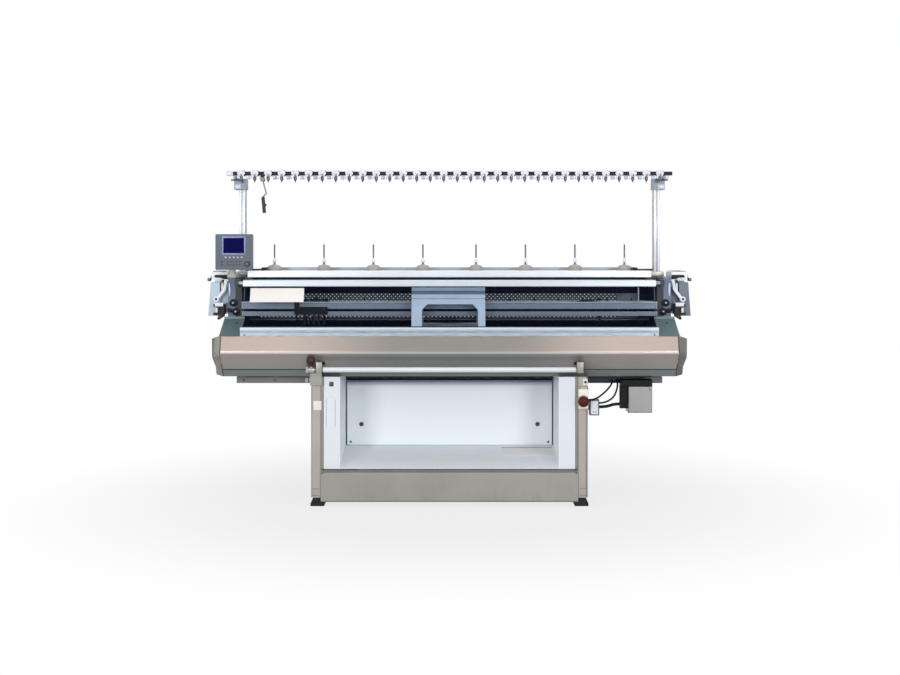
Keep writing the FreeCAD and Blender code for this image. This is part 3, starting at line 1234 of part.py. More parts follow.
# ---- under trays and right drive unit ----
def under_trays():
    """Shallow tray under each end of the bed beam, on three lugs."""
    wall = SHEET
    outer = block(TRAY_IN, TRAY_OUT, TRAY_Y, TRAY_Y + TRAY_D, TRAY_Z, TRAY_Z + TRAY_H)
    inner = block(TRAY_IN + wall, TRAY_OUT - wall, TRAY_Y + wall, TRAY_Y + TRAY_D - wall, TRAY_Z + wall,
                  TRAY_Z + TRAY_H + 1)
    tray = outer.cut(inner)
    lugs = []
    limit = min(TRAY_OUT, END_IN) - wall - TRAY_LUG_W
    for i in range(3):
        x = TRAY_IN + wall + i * (limit - TRAY_IN - wall) / 2.0
        lugs.append(block(x, x + TRAY_LUG_W, TRAY_Y + wall, TRAY_Y + wall + TRAY_LUG_W, TRAY_Z + wall,
                          BEAM_Z))
    return group(both(tray.fuse(lugs).removeSplitter()))


def motor_sides():
    """Left and right side of the motor, which stands clear of the cover box."""
    x1 = BOX_X - GAP
    return x1 - MOTOR_W, x1


def drive_motor():
    """Gear block on the right tray, with the upright motor below it, beside the cover box."""
    y1 = TRAY_Y
    y0 = y1 - GEAR_D
    gear = block(GEAR_X, GEAR_X + GEAR_W, y0, y1, GEAR_Z, GEAR_Z + GEAR_H)
    gear = gear.makeChamfer(SHEET, [e for e in gear.Edges if e.BoundBox.YMax < y0 + 0.01])
    middle = y0 + GEAR_D / 2
    x0, x1 = motor_sides()
    half = MOTOR_W / 2
    low = GEAR_Z - MOTOR_H
    motor = block(x0, x1, middle - half, middle + half, low, GEAR_Z + 1)
    upright = [e for e in motor.Edges if e.BoundBox.ZLength > MOTOR_H]
    motor = motor.makeFillet(MOTOR_ROUND, upright)
    around = block(x0 - 1, x1 + 1, middle - half - 1, middle + half + 1, low + MOTOR_BAND,
                   low + 2 * MOTOR_BAND)
    waist = block(x0 + SHEET, x1 - SHEET, middle - half + SHEET, middle + half - SHEET, low, GEAR_Z)
    motor = motor.cut(around.cut(waist))
    return group(gear.fuse(motor).removeSplitter())


def drive_cover():
    y0 = TRAY_Y - GEAR_D
    z1 = GEAR_Z
    cover = block(BOX_X, BOX_X + BOX_W, y0, y0 + BOX_D, z1 - BOX_H, z1)
    edges = [e for e in cover.Edges if e.BoundBox.YMax < y0 + 0.01 or abs(e.BoundBox.ZLength - BOX_H) < 0.01]
    return cover.makeFillet(BOX_ROUND, edges)


# ---- the ends of the machine ----
def lever_place():
    return V(CROWN_OUT, LEVER_Y, CROWN_Z + CROWN_H / 2)


def end_housings():
    """Slanted side housing with its web to the end frame, and the white crown over it."""
    z1 = HOUSING_Z + HOUSING_H
    y1 = HOUSING_Y + HOUSING_D
    outline = [(HOUSING_X, HOUSING_Z), (HOUSING_X + HOUSING_LOW_W, HOUSING_Z),
               (HOUSING_X + HOUSING_TOP_W, z1), (HOUSING_X, z1)]
    body = prism_y(outline, HOUSING_Y, y1)
    web = block(END_OUT, HOUSING_X + 1, HOUSING_WEB_Y, HOUSING_WEB_Y + HOUSING_WEB_D, HOUSING_WEB_Z,
                HOUSING_WEB_Z + HOUSING_WEB_H)
    neck_w = HOUSING_TOP_W - CROWN_RISE
    neck = block(HOUSING_X, HOUSING_X + neck_w, CROWN_Y + CROWN_RISE, CROWN_Y + CROWN_D - CROWN_RISE, z1 - 1,
                 CROWN_Z)
    pin_hole = rod(ARM_PIN_R + FIT, V(ARM_PIVOT_X, HOUSING_Y - 1, ARM_PIVOT_Z),
                   V(ARM_PIVOT_X, HOUSING_Y + ARM_PIN_L + 1, ARM_PIVOT_Z))
    body = body.fuse([web, neck]).removeSplitter().cut(pin_hole)
    crown = block(CROWN_X, CROWN_OUT, CROWN_Y, CROWN_Y + CROWN_D, CROWN_Z, CROWN_Z + CROWN_H)
    rim = [e for e in crown.Edges if e.BoundBox.ZMin > CROWN_Z + CROWN_H - 0.01]
    crown = crown.makeFillet(CROWN_RISE / 2, rim)
    pivot = lever_place()
    bore = rod(LEVER_PIN_R + FIT, pivot - V(LEVER_PIN_L + 1, 0, 0), pivot + V(1, 0, 0))
    return group(both(body), both(crown.cut(bore)))


def tension_blocks():
    """C-shaped yarn tension block on the front of each side housing."""
    x0 = BLOCK_X
    x1 = BLOCK_X + BLOCK_W
    z0 = BLOCK_Z
    z1 = BLOCK_Z + BLOCK_H
    wall = BLOCK_WALL
    cut = wall / 2
    outline = [(x0 + cut, z0), (x1, z0), (x1, z0 + wall), (x0 + 2 * wall, z0 + wall),
               (x0 + 2 * wall, z1 - wall), (x1, z1 - wall), (x1, z1), (x0 + cut, z1), (x0, z1 - cut),
               (x0, z0 + cut)]
    return group(both(prism_y(outline, HOUSING_Y - BLOCK_D, HOUSING_Y)))


def side_arm(side):
    """Bent take-up arm with its ring hub and pivot pin."""
    y1 = HOUSING_Y - GAP
    y0 = y1 - ARM_HUB_W
    hub = rod(ARM_HUB_R, V(ARM_PIVOT_X, y0, ARM_PIVOT_Z), V(ARM_PIVOT_X, y1, ARM_PIVOT_Z))
    dimple = rod(ARM_HUB_R / 2, V(ARM_PIVOT_X, y0 - 1, ARM_PIVOT_Z),
                 V(ARM_PIVOT_X, y0 + ARM_HUB_W / 4, ARM_PIVOT_Z))
    pin = rod(ARM_PIN_R, V(ARM_PIVOT_X, y1 - 1, ARM_PIVOT_Z),
              V(ARM_PIVOT_X, HOUSING_Y + ARM_PIN_L, ARM_PIVOT_Z))
    half = ARM_WIDE / 2
    line = [(ARM_PIVOT_X - half, ARM_PIVOT_Z - half), (ARM_KNEE_X - half, ARM_KNEE_Z),
            (ARM_KNEE_X - 2 * half, ARM_TIP_Z)]
    plane = (y0 + y1) / 2
    arm = prism_y(folded(line, -ARM_WIDE), plane - ARM_T / 2, plane + ARM_T / 2)
    whole = hub.fuse([arm, pin]).cut(dimple).removeSplitter()
    return whole if side > 0 else mirrored(whole)


def end_lever(side):
    """Lever on the outer side of the crown, with a round grip."""
    pivot = lever_place()
    x0 = pivot.x + GAP
    x1 = x0 + LEVER_HUB_T
    hub = rod(LEVER_R, V(x0, pivot.y, pivot.z), V(x1, pivot.y, pivot.z))
    pin = rod(LEVER_PIN_R, V(pivot.x - LEVER_PIN_L, pivot.y, pivot.z), V(x0 + 1, pivot.y, pivot.z))
    drop = LEVER_ARM_L / 2
    grip_y = pivot.y - LEVER_ARM_L
    grip_z = pivot.z - drop
    half = LEVER_GRIP_R * 0.7
    outline = [(pivot.y, pivot.z - half), (pivot.y, pivot.z + half), (grip_y, grip_z + half),
               (grip_y, grip_z - half)]
    arm = prism_x(outline, x0, x1)
    grip = rod(LEVER_GRIP_R, V(x0, grip_y, grip_z), V(x1 + LEVER_GRIP_L, grip_y, grip_z))
    whole = hub.fuse([pin, arm, grip]).removeSplitter()
    return whole if side > 0 else mirrored(whole)


# ---- cables ----
def cable(name, points, radius):
    """Tube along straight runs joined by tangent arcs."""
    edges = []
    start = points[0]
    radii = []
    for before, here, after in zip(points, points[1:], points[2:]):
        back = before - here
        on = after - here
        short = min(back.Length, on.Length)
        turn = math.pi - back.getAngle(on)
        reach = BEND_SHARE * short
        radii.append(reach / math.tan(turn / 2))
        enter = here + back * (reach / back.Length)
        leave = here + on * (reach / on.Length)
        middle = (back.normalize() + on.normalize()).normalize()
        tip = here + middle * (radii[-1] / math.cos(turn / 2) - radii[-1])
        edges.append(Part.LineSegment(start, enter).toShape())
        edges.append(Part.Arc(enter, tip, leave).toShape())
        start = leave
    edges.append(Part.LineSegment(start, points[-1]).toShape())
    path = Part.Wire(edges)
    ring = Part.Wire([Part.makeCircle(radius, points[0], points[1] - points[0])])
    tube = path.makePipeShell([ring], True, False)
    share = tube.Volume / (math.pi * radius ** 2 * path.Length)
    print(f"{name}: length {path.Length:.0f}, radii {[round(r) for r in radii]}, volume share {share:.4f}")
    return tube


def route(start, end, shares):
    """Points of a lead, each at its share of the way from start to end along X, Y and Z."""
    way = end - start
    return [start] + [start + V(way.x * sx, way.y * sy, way.z * sz) for sx, sy, sz in shares] + [end]


def machine_cables():
    """Leads from the switch box and the socket box to the right tray and the motor."""
    tray_y = TRAY_Y - GAP
    tray_z = TRAY_Z + TRAY_H / 2
    switch_x = SWITCH_X + SWITCH_W / 2 + GAP
    socket_x = SOCKET_X + SOCKET_W + GAP
    motor_x = motor_sides()[0] - GAP
    socket_low = SOCKET_Z + SOCKET_H / 2
    socket_high = SOCKET_Z + SOCKET_H - 4 * CABLE_R
    switch = route(V(switch_x, COLUMN_Y - SWITCH_D / 2, STOP_Z + CABLE_R),
                   V(TRAY_IN + SWITCH_LEAD_IN, tray_y, tray_z), SWITCH_LEAD)
    socket = route(V(socket_x, COLUMN_Y + SOCKET_D / 2, socket_high),
                   V(TRAY_IN + SOCKET_LEAD_IN, tray_y, tray_z), SOCKET_LEAD)
    motor = route(V(socket_x, COLUMN_Y + SOCKET_D - 2 * CABLE_THICK_R, socket_low),
                  V(motor_x, TRAY_Y - GEAR_D / 2, MOTOR_LEAD_Z), MOTOR_LEAD)
    return group(cable("switch lead", switch, CABLE_R), cable("socket lead", socket, CABLE_R),
                 cable("motor lead", motor, CABLE_THICK_R))


def yarn_rail_with_lug():
    return yarn_rail().fuse(stop_pivot_lug()).removeSplitter()


NODES = {
    "levelling_feet": levelling_feet,
    "stand_frame": stand_frame,
    "kick_beam": kick_beam,
    "recess_panels": recess_panels,
    "controller_cabinet": controller_cabinet,
    "controller_cards": controller_cards,
    "controller_door": controller_door,
    "door_lock_left": lambda: door_lock(-1),
    "door_lock_right": lambda: door_lock(1),
    "bed_beam": bed_beam,
    "needle_bed_front": lambda: needle_bed(-1),
    "needle_bed_rear": lambda: needle_bed(1),
    "takedown_roller_front": lambda: takedown_roller(-1),
    "takedown_roller_rear": lambda: takedown_roller(1),
    "carriage_rails": carriage_rails,
    "feeder_rails": feeder_rails,
    "carriage_bow": carriage_bow,
    "cam_boxes": cam_boxes,
    "drive_belt": drive_belt,
    "pulley_left": lambda: pulley(-1),
    "pulley_right": lambda: pulley(1),
    "end_frames": end_frames,
    "front_cover": front_cover,
    "end_caps": end_caps,
    "corner_panels": corner_panels,
    "rear_cover": rear_cover,
    "mesh_panel": mesh_panel,
    "cover_rails": cover_rails,
    "cover_window": cover_window,
    "top_rail": top_rail,
    "cone_shelf": cone_shelf,
    "cone_stands": cone_stands,
    "masts": masts,
    "yarn_rail": yarn_rail_with_lug,
    "tension_units": tension_units,
    "stop_arm": stop_arm,
    "panel_case": panel_case,
    "panel_screen": panel_screen,
    "panel_dial": panel_dial,
    "panel_arm": panel_arm,
    "bar_brackets": bar_brackets,
    "operation_bar": operation_bar,
    "switch_boxes": switch_boxes,
    "stop_button": stop_button,
    "under_trays": under_trays,
    "drive_motor": drive_motor,
    "drive_cover": drive_cover,
    "end_housings": end_housings,
    "tension_blocks": tension_blocks,
    "side_arm_left": lambda: side_arm(-1),
    "side_arm_right": lambda: side_arm(1),
    "lever_left": lambda: end_lever(-1),
    "lever_right": lambda: end_lever(1),
    "machine_cables": machine_cables,
}
for feeder in range(len(FEEDER_X)):
    NODES[f"yarn_feeder_{feeder + 1}"] = lambda index=feeder: yarn_feeder(index)

os.makedirs("parts", exist_ok=True)
whole = FreeCAD.BoundBox()
for node, make in NODES.items():
    shape = make()
    if not shape.isValid():
        raise ValueError(f"{node} is not a valid shape")
    shape.exportStep(f"parts/{node}.step")
    whole.add(shape.BoundBox)
print(f"{len(NODES)} nodes, X {whole.XMin:.1f} to {whole.XMax:.1f}, Y {whole.YMin:.1f} to {whole.YMax:.1f}, "
      f"Z {whole.ZMin:.1f} to {whole.ZMax:.1f}")
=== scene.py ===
"""Looks of a flat knitting machine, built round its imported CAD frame.

Each sub-assembly is a class with its sizes as fields and methods that model and dress its pieces.
Sizes are in metres, X runs along the machine, -Y faces the knitter and Z points up.
"""

import json
import logging
import math
from collections.abc import Callable, Iterable, Sequence
from dataclasses import dataclass
from enum import Enum

import bmesh
import bpy
from mathutils import Matrix, Vector


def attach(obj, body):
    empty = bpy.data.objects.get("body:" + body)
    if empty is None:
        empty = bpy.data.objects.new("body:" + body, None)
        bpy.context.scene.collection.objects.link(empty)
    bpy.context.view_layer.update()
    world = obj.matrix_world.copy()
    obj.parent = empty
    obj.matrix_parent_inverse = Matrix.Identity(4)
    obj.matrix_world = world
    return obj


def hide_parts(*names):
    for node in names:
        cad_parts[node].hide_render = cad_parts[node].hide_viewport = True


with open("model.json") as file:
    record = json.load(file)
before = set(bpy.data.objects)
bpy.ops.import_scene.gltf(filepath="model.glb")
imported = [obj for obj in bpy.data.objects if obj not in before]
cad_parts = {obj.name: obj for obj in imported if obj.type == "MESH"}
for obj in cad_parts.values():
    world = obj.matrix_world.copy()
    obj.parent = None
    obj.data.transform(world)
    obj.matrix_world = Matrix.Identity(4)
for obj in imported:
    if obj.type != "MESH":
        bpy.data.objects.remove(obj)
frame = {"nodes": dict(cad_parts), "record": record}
log = logging.getLogger("knitting_machine")

Flat = tuple[float, float]
Point = tuple[float, float, float]
Colour = tuple[int, int, int]
Value = object

WHITE = (1.0, 1.0, 1.0, 1.0)


# ---------------------------------------------------------------- shader tools


def linear(red: int, green: int, blue: int, share: float = 1.0) -> tuple[float, float, float, float]:
    """Turns a colour as it is seen into a shader's linear colour.

    Args:
        red, green, blue: the colour's levels, 0 to 255.
        share: how much of its light is left.

    Returns:
        The linear colour, with a full alpha.
    """
    levels = [level / 255 for level in (red, green, blue)]
    curve = [level / 12.92 if level <= 0.04045 else ((level + 0.055) / 1.055) ** 2.4 for level in levels]
    return (*(Vector(curve) * share), 1.0) if share != 1.0 else (*curve, 1.0)


class Signal:
    """A shader value whose arithmetic adds Math nodes."""

    def __init__(self, shader: "Shader", socket: bpy.types.NodeSocket) -> None:
        """Wraps an output socket of a shader."""
        self.shader, self.socket = shader, socket

    def __add__(self, other: Value) -> "Signal":
        """Adds two values."""
        return self.shader.maths("ADD", self, other)

    def __mul__(self, other: Value) -> "Signal":
        """Multiplies two values."""
        return self.shader.maths("MULTIPLY", self, other)

    def __sub__(self, other: Value) -> "Signal":
        """Takes a value from this one."""
        return self.shader.maths("SUBTRACT", self, other)

    def __rsub__(self, other: Value) -> "Signal":
        """Takes this value from another."""
        return self.shader.maths("SUBTRACT", other, self)

    def __gt__(self, other: Value) -> "Signal":
        """Is 1 where this value is the larger and 0 elsewhere."""
        return self.shader.maths("GREATER_THAN", self, other)

    __radd__, __rmul__ = __add__, __mul__

    def sibling(self, output: int | str) -> "Signal":
        """Reads another output of the same node."""
        return Signal(self.shader, self.socket.node.outputs[output])

    def smooth(self, low: float, high: float) -> "Signal":
        """Rises from 0 at low to 1 at high, and falls where low is the higher."""
        values = {"Value": self, "From Min": low, "From Max": high}
        return self.shader.add("ShaderNodeMapRange", {"interpolation_type": "SMOOTHSTEP"}, values)


class Shader:
    """The nodes of a material or a world while they are being laid out."""

    def __init__(self, owner: bpy.types.Material | bpy.types.World) -> None:
        """Opens the owner's node tree.

        Args:
            owner: the material or the world.
        """
        owner.use_nodes = True
        self.tree = owner.node_tree
        self._place: Signal | None = None

    @property
    def surface(self) -> bpy.types.Node:
        """The material's Principled surface."""
        return self.tree.nodes["Principled BSDF"]

    def feed(self, socket: bpy.types.NodeSocket, value: Value) -> None:
        """Links a signal to a socket, or sets a plain value on it.

        Args:
            socket: the input socket.
            value: the signal or the plain value.
        """
        if isinstance(value, Signal):
            self.tree.links.new(value.socket, socket)
        else:
            socket.default_value = value

    def add(self, kind: str, settings: dict, values: dict, output: int | str = 0) -> Signal:
        """Adds one node.

        Args:
            kind: the node's type.
            settings: its own settings, which are set first.
            values: what its input sockets get, by name or number.
            output: the output that is wanted.

        Returns:
            That output of the new node.
        """
        node = self.tree.nodes.new(kind)
        for name, value in settings.items():
            setattr(node, name, value)
        for name, value in values.items():
            self.feed(node.inputs[name], value)
        return Signal(self, node.outputs[output])

    def maths(self, operation: str, first: Value, second: Value = 0.0) -> Signal:
        """Works out one sum on one or two values."""
        return self.add("ShaderNodeMath", {"operation": operation}, {0: first, 1: second})

    @property
    def place(self) -> Signal:
        """The surface point in the object's own coordinates."""
        self._place = self._place or self.add("ShaderNodeTexCoord", {}, {}, "Object")
        return self._place

    def axes(self) -> tuple[Signal, Signal, Signal]:
        """Splits the surface point into its X, Y and Z."""
        across = self.add("ShaderNodeSeparateXYZ", {}, {0: self.place})
        return across, across.sibling(1), across.sibling(2)

    def noise(self, scale: float, stretch: Point = (1, 1, 1), detail: float = 2.0) -> Signal:
        """Makes a noise between 0 and 1.

        Args:
            scale: how many patches there are to a metre.
            stretch: a factor on the scale for each axis, which draws the patches out.
            detail: how many finer layers it has.

        Returns:
            The noise value.
        """
        point = self.add("ShaderNodeMapping", {}, {"Vector": self.place, "Scale": stretch})
        return self.add("ShaderNodeTexNoise", {}, {"Vector": point, "Scale": scale, "Detail": detail})

    def mix(self, factor: Value, first: Value, second: Value) -> Signal:
        """Mixes two colours: the first where the factor is 0."""
        return self.add("ShaderNodeMix", {"data_type": "RGBA"}, {0: factor, 6: first, 7: second}, 2)

    def bump(self, height: Signal, depth: float) -> None:
        """Gives the surface a relief of some depth in metres."""
        relief = self.add("ShaderNodeBump", {}, {"Height": height, "Strength": 1.0, "Distance": depth})
        self.set(Normal=relief)

    def set(self, **values: Value) -> None:
        """Sets or feeds the surface's sockets, named with _ for a space."""
        for name, value in values.items():
            self.feed(self.surface.inputs[name.replace("_", " ")], value)


# ---------------------------------------------------------------- finishes

COAT_ROUGHNESS = 0.12
GRAIN_ON_SHINE = 0.16  # how far the grain moves the roughness
PATCH = (0.3, 0.7)  # the stretch of a noise over which one tone turns into the other
PATCH_DETAIL = 3.0
SCUFF_SCALE, SCUFF_DETAIL, SCUFF_LIGHT = 38.0, 5.0, 0.62
SCUFF_UPRIGHT = (1, 1, 0.35)
SCUFF_EDGE = (0.5, 0.72)
FLAKE_SCALE, FLAKE_LIGHT, FLAKE_METAL = 1500.0, 0.2, 0.3
FLAKE_EDGE = (0.56, 0.72)
TRICK_EDGE = (0.2, 0.9)
MOULD_SCALE = 90.0
SMEAR_SCALE, SMEAR_SHINE, SMEAR_BODY = 9.0, 0.05, 0.02
SMEAR_EDGE = (0.45, 0.75)
DOT_SCALE, DOT_LIGHT = 3140.0, 0.8
DOT_EDGE = (-0.6, 0.6)


class Split(Enum):
    """The axis along which a piece changes its colour."""

    X = 0
    Z = 2


@dataclass(frozen=True)
class Band:
    """A stretch along an axis that has a colour of its own."""

    axis: Split
    low: float
    high: float
    colour: Colour
    soft: float = 0.0005


def stripes(axis: Split, *rows: tuple) -> tuple[Band, ...]:
    """Makes bands along one axis, each from its low, high, colour and soft edge."""
    return tuple(Band(axis, *row) for row in rows)


def end_stripes(*rows: tuple) -> tuple[Band, ...]:
    """Makes bands along X in pairs, alike at the machine's right and left end."""
    pairs = [((low, high, colour), (-high, -low, colour)) for low, high, colour in rows]
    return stripes(Split.X, *(band for pair in pairs for band in pair))


@dataclass(frozen=True)
class Finish:
    """A finish: its colour, how it shines, and the detail that the real one shows.

    Colours are as seen, 0 to 255. Slot is the record's material slot where it isn't the finish's
    own name. Drift is how far the colour wanders over large patches, grain is the fine relief,
    and stretch draws the grain out along an axis.
    """

    name: str
    colour: Colour
    roughness: float = 0.45
    metallic: float = 0.0
    slot: str = ""
    coat: float = 0.0
    drift: float = 0.06
    drift_scale: float = 3.0
    grain_scale: float = 600.0
    grain_depth: float = 0.00008
    stretch: Point = (1, 1, 1)
    scuff: float = 0.0
    scuff_top: float = 0.2
    gloss: float = 0.5
    bands: tuple[Band, ...] = ()

    def tones(self, shader: Shader) -> Signal:
        """Lays the ground and then each band over it.

        Args:
            shader: the shader of the material.

        Returns:
            The colour.
        """
        tone = self.ground(shader)
        for band in self.bands:
            place = shader.axes()[band.axis.value]
            above = place.smooth(band.low, band.low + band.soft)
            below = place.smooth(band.high, band.high - band.soft)
            tone = shader.mix(above * below, tone, linear(*band.colour))
        return tone

    def ground(self, shader: Shader) -> Signal:
        """Lays the colour with its drift, and its scuffs near the floor.

        Args:
            shader: the shader of the material.

        Returns:
            The colour under the bands.
        """
        dark, light = (linear(*self.colour, share) for share in (1 - self.drift, 1 + self.drift))
        patches = shader.noise(self.drift_scale, detail=PATCH_DETAIL)
        tone = shader.mix(patches.smooth(*PATCH), dark, light)
        if self.scuff:
            low = shader.axes()[2].smooth(self.scuff_top, 0.0)
            marks = shader.noise(SCUFF_SCALE, SCUFF_UPRIGHT, SCUFF_DETAIL).smooth(*SCUFF_EDGE)
            tone = shader.mix(low * marks * self.scuff, tone, linear(*self.colour, SCUFF_LIGHT))
        return tone

    def dress(self, shader: Shader) -> None:
        """Lays out the whole finish.

        Args:
            shader: the shader of the material.
        """
        grain = shader.noise(self.grain_scale, self.stretch)
        shader.set(
            Base_Color=self.tones(shader),
            Metallic=self.metallic,
            Roughness=(grain - 0.5) * GRAIN_ON_SHINE + self.roughness,
            Coat_Weight=self.coat,
            Coat_Roughness=COAT_ROUGHNESS,
            Specular_IOR_Level=self.gloss,
        )
        shader.bump(grain, self.grain_depth)

    def make(self) -> bpy.types.Material:
        """Makes the material.

        Returns:
            The material, with its nodes.
        """
        material = bpy.data.materials.new(self.name)
        self.dress(Shader(material))
        return material


@dataclass(frozen=True)
class FlakePaint(Finish):
    """A sprayed metallic paint: flakes that catch the light under a thin coat."""

    flake: float = 0.35

    def dress(self, shader: Shader) -> None:
        """Lays the paint, and lifts the flakes' brightness and shine.

        Args:
            shader: the shader of the material.
        """
        super().dress(shader)
        flakes = shader.noise(FLAKE_SCALE, detail=0.0).smooth(*FLAKE_EDGE)
        tone = shader.mix(flakes * self.flake * FLAKE_LIGHT, self.tones(shader), WHITE)
        shader.set(Base_Color=tone, Metallic=flakes * FLAKE_METAL + self.metallic)


@dataclass(frozen=True)
class LongPaint(FlakePaint):
    """A long folded panel with painted light: lighter towards both ends as a painted reflection, greyer
    below its fold as painted shade on the face that turns down, and a painted highlight along the fold.
    """

    # Painted light: the colour that lightens both ends is a painted reflection, the two colours below the
    # fold are painted shade on the face that turns down, and the last share is a painted highlight on the
    # fold.
    ends: Colour = (200, 200, 200)
    under: Colour = (140, 140, 140)
    under_ends: Colour = (150, 150, 150)
    start: float = 0.25
    full: float = 0.95
    fold: float = 0.850
    turn: float = 0.006
    fold_highlight: float = 0.35

    def ground(self, shader: Shader) -> Signal:
        """Lays both faces' colours with their painted light and shade, and paints a highlight on the fold
        between them.

        Args:
            shader: the shader of the material.

        Returns:
            The colour under the bands.
        """
        across, _, up = shader.axes()
        low, edge, high = self.fold - self.turn, self.fold + 0.001, self.fold + 0.008
        reach = shader.maths("ABSOLUTE", across).smooth(self.start, self.full)
        # Painted reflection: lighter towards both ends.
        above = shader.mix(reach, super().ground(shader), linear(*self.ends))
        # Painted shade: the face below the fold turns down.
        below = shader.mix(reach, linear(*self.under), linear(*self.under_ends))
        tone = shader.mix(up.smooth(low, self.fold - 0.001), below, above)
        # Painted highlight along the fold.
        return shader.mix(up.smooth(low, edge) * up.smooth(high, edge) * self.fold_highlight, tone, WHITE)


@dataclass(frozen=True)
class Extrusion(Finish):
    """Drawn or brushed metal, whose fine lines run along the stretched axis."""

    grain_scale: float = 900.0
    stretch: Point = (0.02, 1.0, 1.0)
    lines: float = 0.12

    def dress(self, shader: Shader) -> None:
        """Lays the metal and its drawn lines.

        Args:
            shader: the shader of the material.
        """
        super().dress(shader)
        lines = shader.noise(self.grain_scale, self.stretch, 4.0).smooth(*PATCH)
        shader.set(Base_Color=shader.mix(lines, linear(*self.colour, 1 - self.lines), self.tones(shader)))


@dataclass(frozen=True)
class TrickedSteel(Finish):
    """Bed steel cut across with needle tricks, which show as fine dark and bright lines."""

    trick: float = 0.0048
    land: Colour = (30, 38, 58)

    def ground(self, shader: Shader) -> Signal:
        """Lays the tricks and the lands between them."""
        wave = shader.maths("SINE", shader.axes()[0] * (math.tau / self.trick))
        return shader.mix(wave.smooth(*TRICK_EDGE), super().ground(shader), linear(*self.land))


@dataclass(frozen=True)
class Casting(Finish):
    """A painted casting with the slight lumps of its mould."""

    lump: float = 0.0006

    def dress(self, shader: Shader) -> None:
        """Lays the paint over the lumps of the mould.

        Args:
            shader: the shader of the material.
        """
        super().dress(shader)
        lumps = shader.noise(MOULD_SCALE, detail=PATCH_DETAIL)
        shader.bump(lumps + shader.noise(self.grain_scale) * 0.2, self.lump)


@dataclass(frozen=True)
class TwoTone(Finish):
    """A sheet that is metallic below a level and plain, in another tone, above it."""

    upper: Colour = (255, 255, 255)
    level: float = 1.0

    def dress(self, shader: Shader) -> None:
        """Lays both tones and the line between them.

        Args:
            shader: the shader of the material.
        """
        super().dress(shader)
        side = shader.axes()[2] > self.level
        tone = shader.mix(side, self.tones(shader), linear(*self.upper))
        shader.set(Base_Color=tone, Metallic=side * -self.metallic + self.metallic)


@dataclass(frozen=True)
class Pane(Finish):
    """A clear window pane with a slight tint."""

    body: float = 0.12

    def dress(self, shader: Shader) -> None:
        """Lays a thin tint under a polished face with faint cleaning marks.

        Args:
            shader: the shader of the material.
        """
        smears = shader.noise(SMEAR_SCALE, (1, 1, 3), 5.0).smooth(*SMEAR_EDGE)
        shader.set(
            Base_Color=linear(*self.colour),
            Roughness=smears * SMEAR_SHINE + self.roughness,
            Alpha=smears * SMEAR_BODY + self.body,
            Specular_IOR_Level=self.gloss,
        )


@dataclass(frozen=True)
class Display(Finish):
    """A lit screen: an even glow with faint rows of dots."""

    glow: float = 0.35

    def dress(self, shader: Shader) -> None:
        """Lays the glow under the screen's glass.

        Args:
            shader: the shader of the material.
        """
        across, _, up = shader.axes()
        dots = shader.maths("SINE", up * DOT_SCALE) * shader.maths("SINE", across * DOT_SCALE)
        dim = tuple(int(level * DOT_LIGHT) for level in self.colour)
        tone = shader.mix(dots.smooth(*DOT_EDGE), linear(*dim), linear(*self.colour))
        shader.set(
            Base_Color=tone,
            Emission_Color=tone,
            Emission_Strength=self.glow,
            Roughness=self.roughness,
            Coat_Weight=self.coat,
            Specular_IOR_Level=self.gloss,
        )


class Rack:
    """The finishes of the machine, each made once and handed out by name."""

    def __init__(self, finishes: Iterable[Finish]) -> None:
        """Makes every finish's material, and notes the slot that goes with it.

        Args:
            finishes: every finish of the machine.
        """
        self.materials, self.slots = {}, {}
        for finish in finishes:
            self.materials[finish.name] = finish.make()
            self.slots[finish.name] = finish.slot or finish.name

    def dress(self, node: str, name: str) -> None:
        """Puts a finish on every material slot of a CAD node."""
        for slot in frame["nodes"][node].material_slots:
            slot.material = self.materials[name]


# ---------------------------------------------------------------- modelling tools

PER_METRE = 1000  # millimetres to a metre
SEED = 0.001  # size of the plane that a drawn mesh starts from
MERGE = 0.00002
DEGENERATE = 0.00001
FACING = 0.95  # how far a face's normal reaches along an axis that it faces


def deselect() -> None:
    """Clears the selection, so that an operator acts on the new piece alone."""
    if bpy.context.object and bpy.context.object.mode != "OBJECT":
        bpy.ops.object.mode_set(mode="OBJECT")
    bpy.ops.object.select_all(action="DESELECT")


def profile(*levels: float) -> list[Flat]:
    """Reads an outline that is written in millimetres, two numbers to a point."""
    return [(u / PER_METRE, v / PER_METRE) for u, v in zip(levels[::2], levels[1::2])]


def row(start: float, pitch: float, count: int) -> list[Point]:
    """Sets places along X, one pitch apart."""
    return [(start + i * pitch, 0, 0) for i in range(count)]


def arc(middle: Flat, radius: float, angles: Iterable[float]) -> list[Flat]:
    """Places points round a middle, one at each angle in radians."""
    u, v = middle
    return [(u + radius * math.cos(a), v + radius * math.sin(a)) for a in angles]


class Axis(Enum):
    """The axis along which a round piece lies, as the turn that lays it there."""

    X = (0.0, math.pi / 2, 0.0)
    Y = (-math.pi / 2, 0.0, 0.0)
    Z = (0.0, 0.0, 0.0)
    FRONT = (math.pi / 2, 0.0, 0.0)


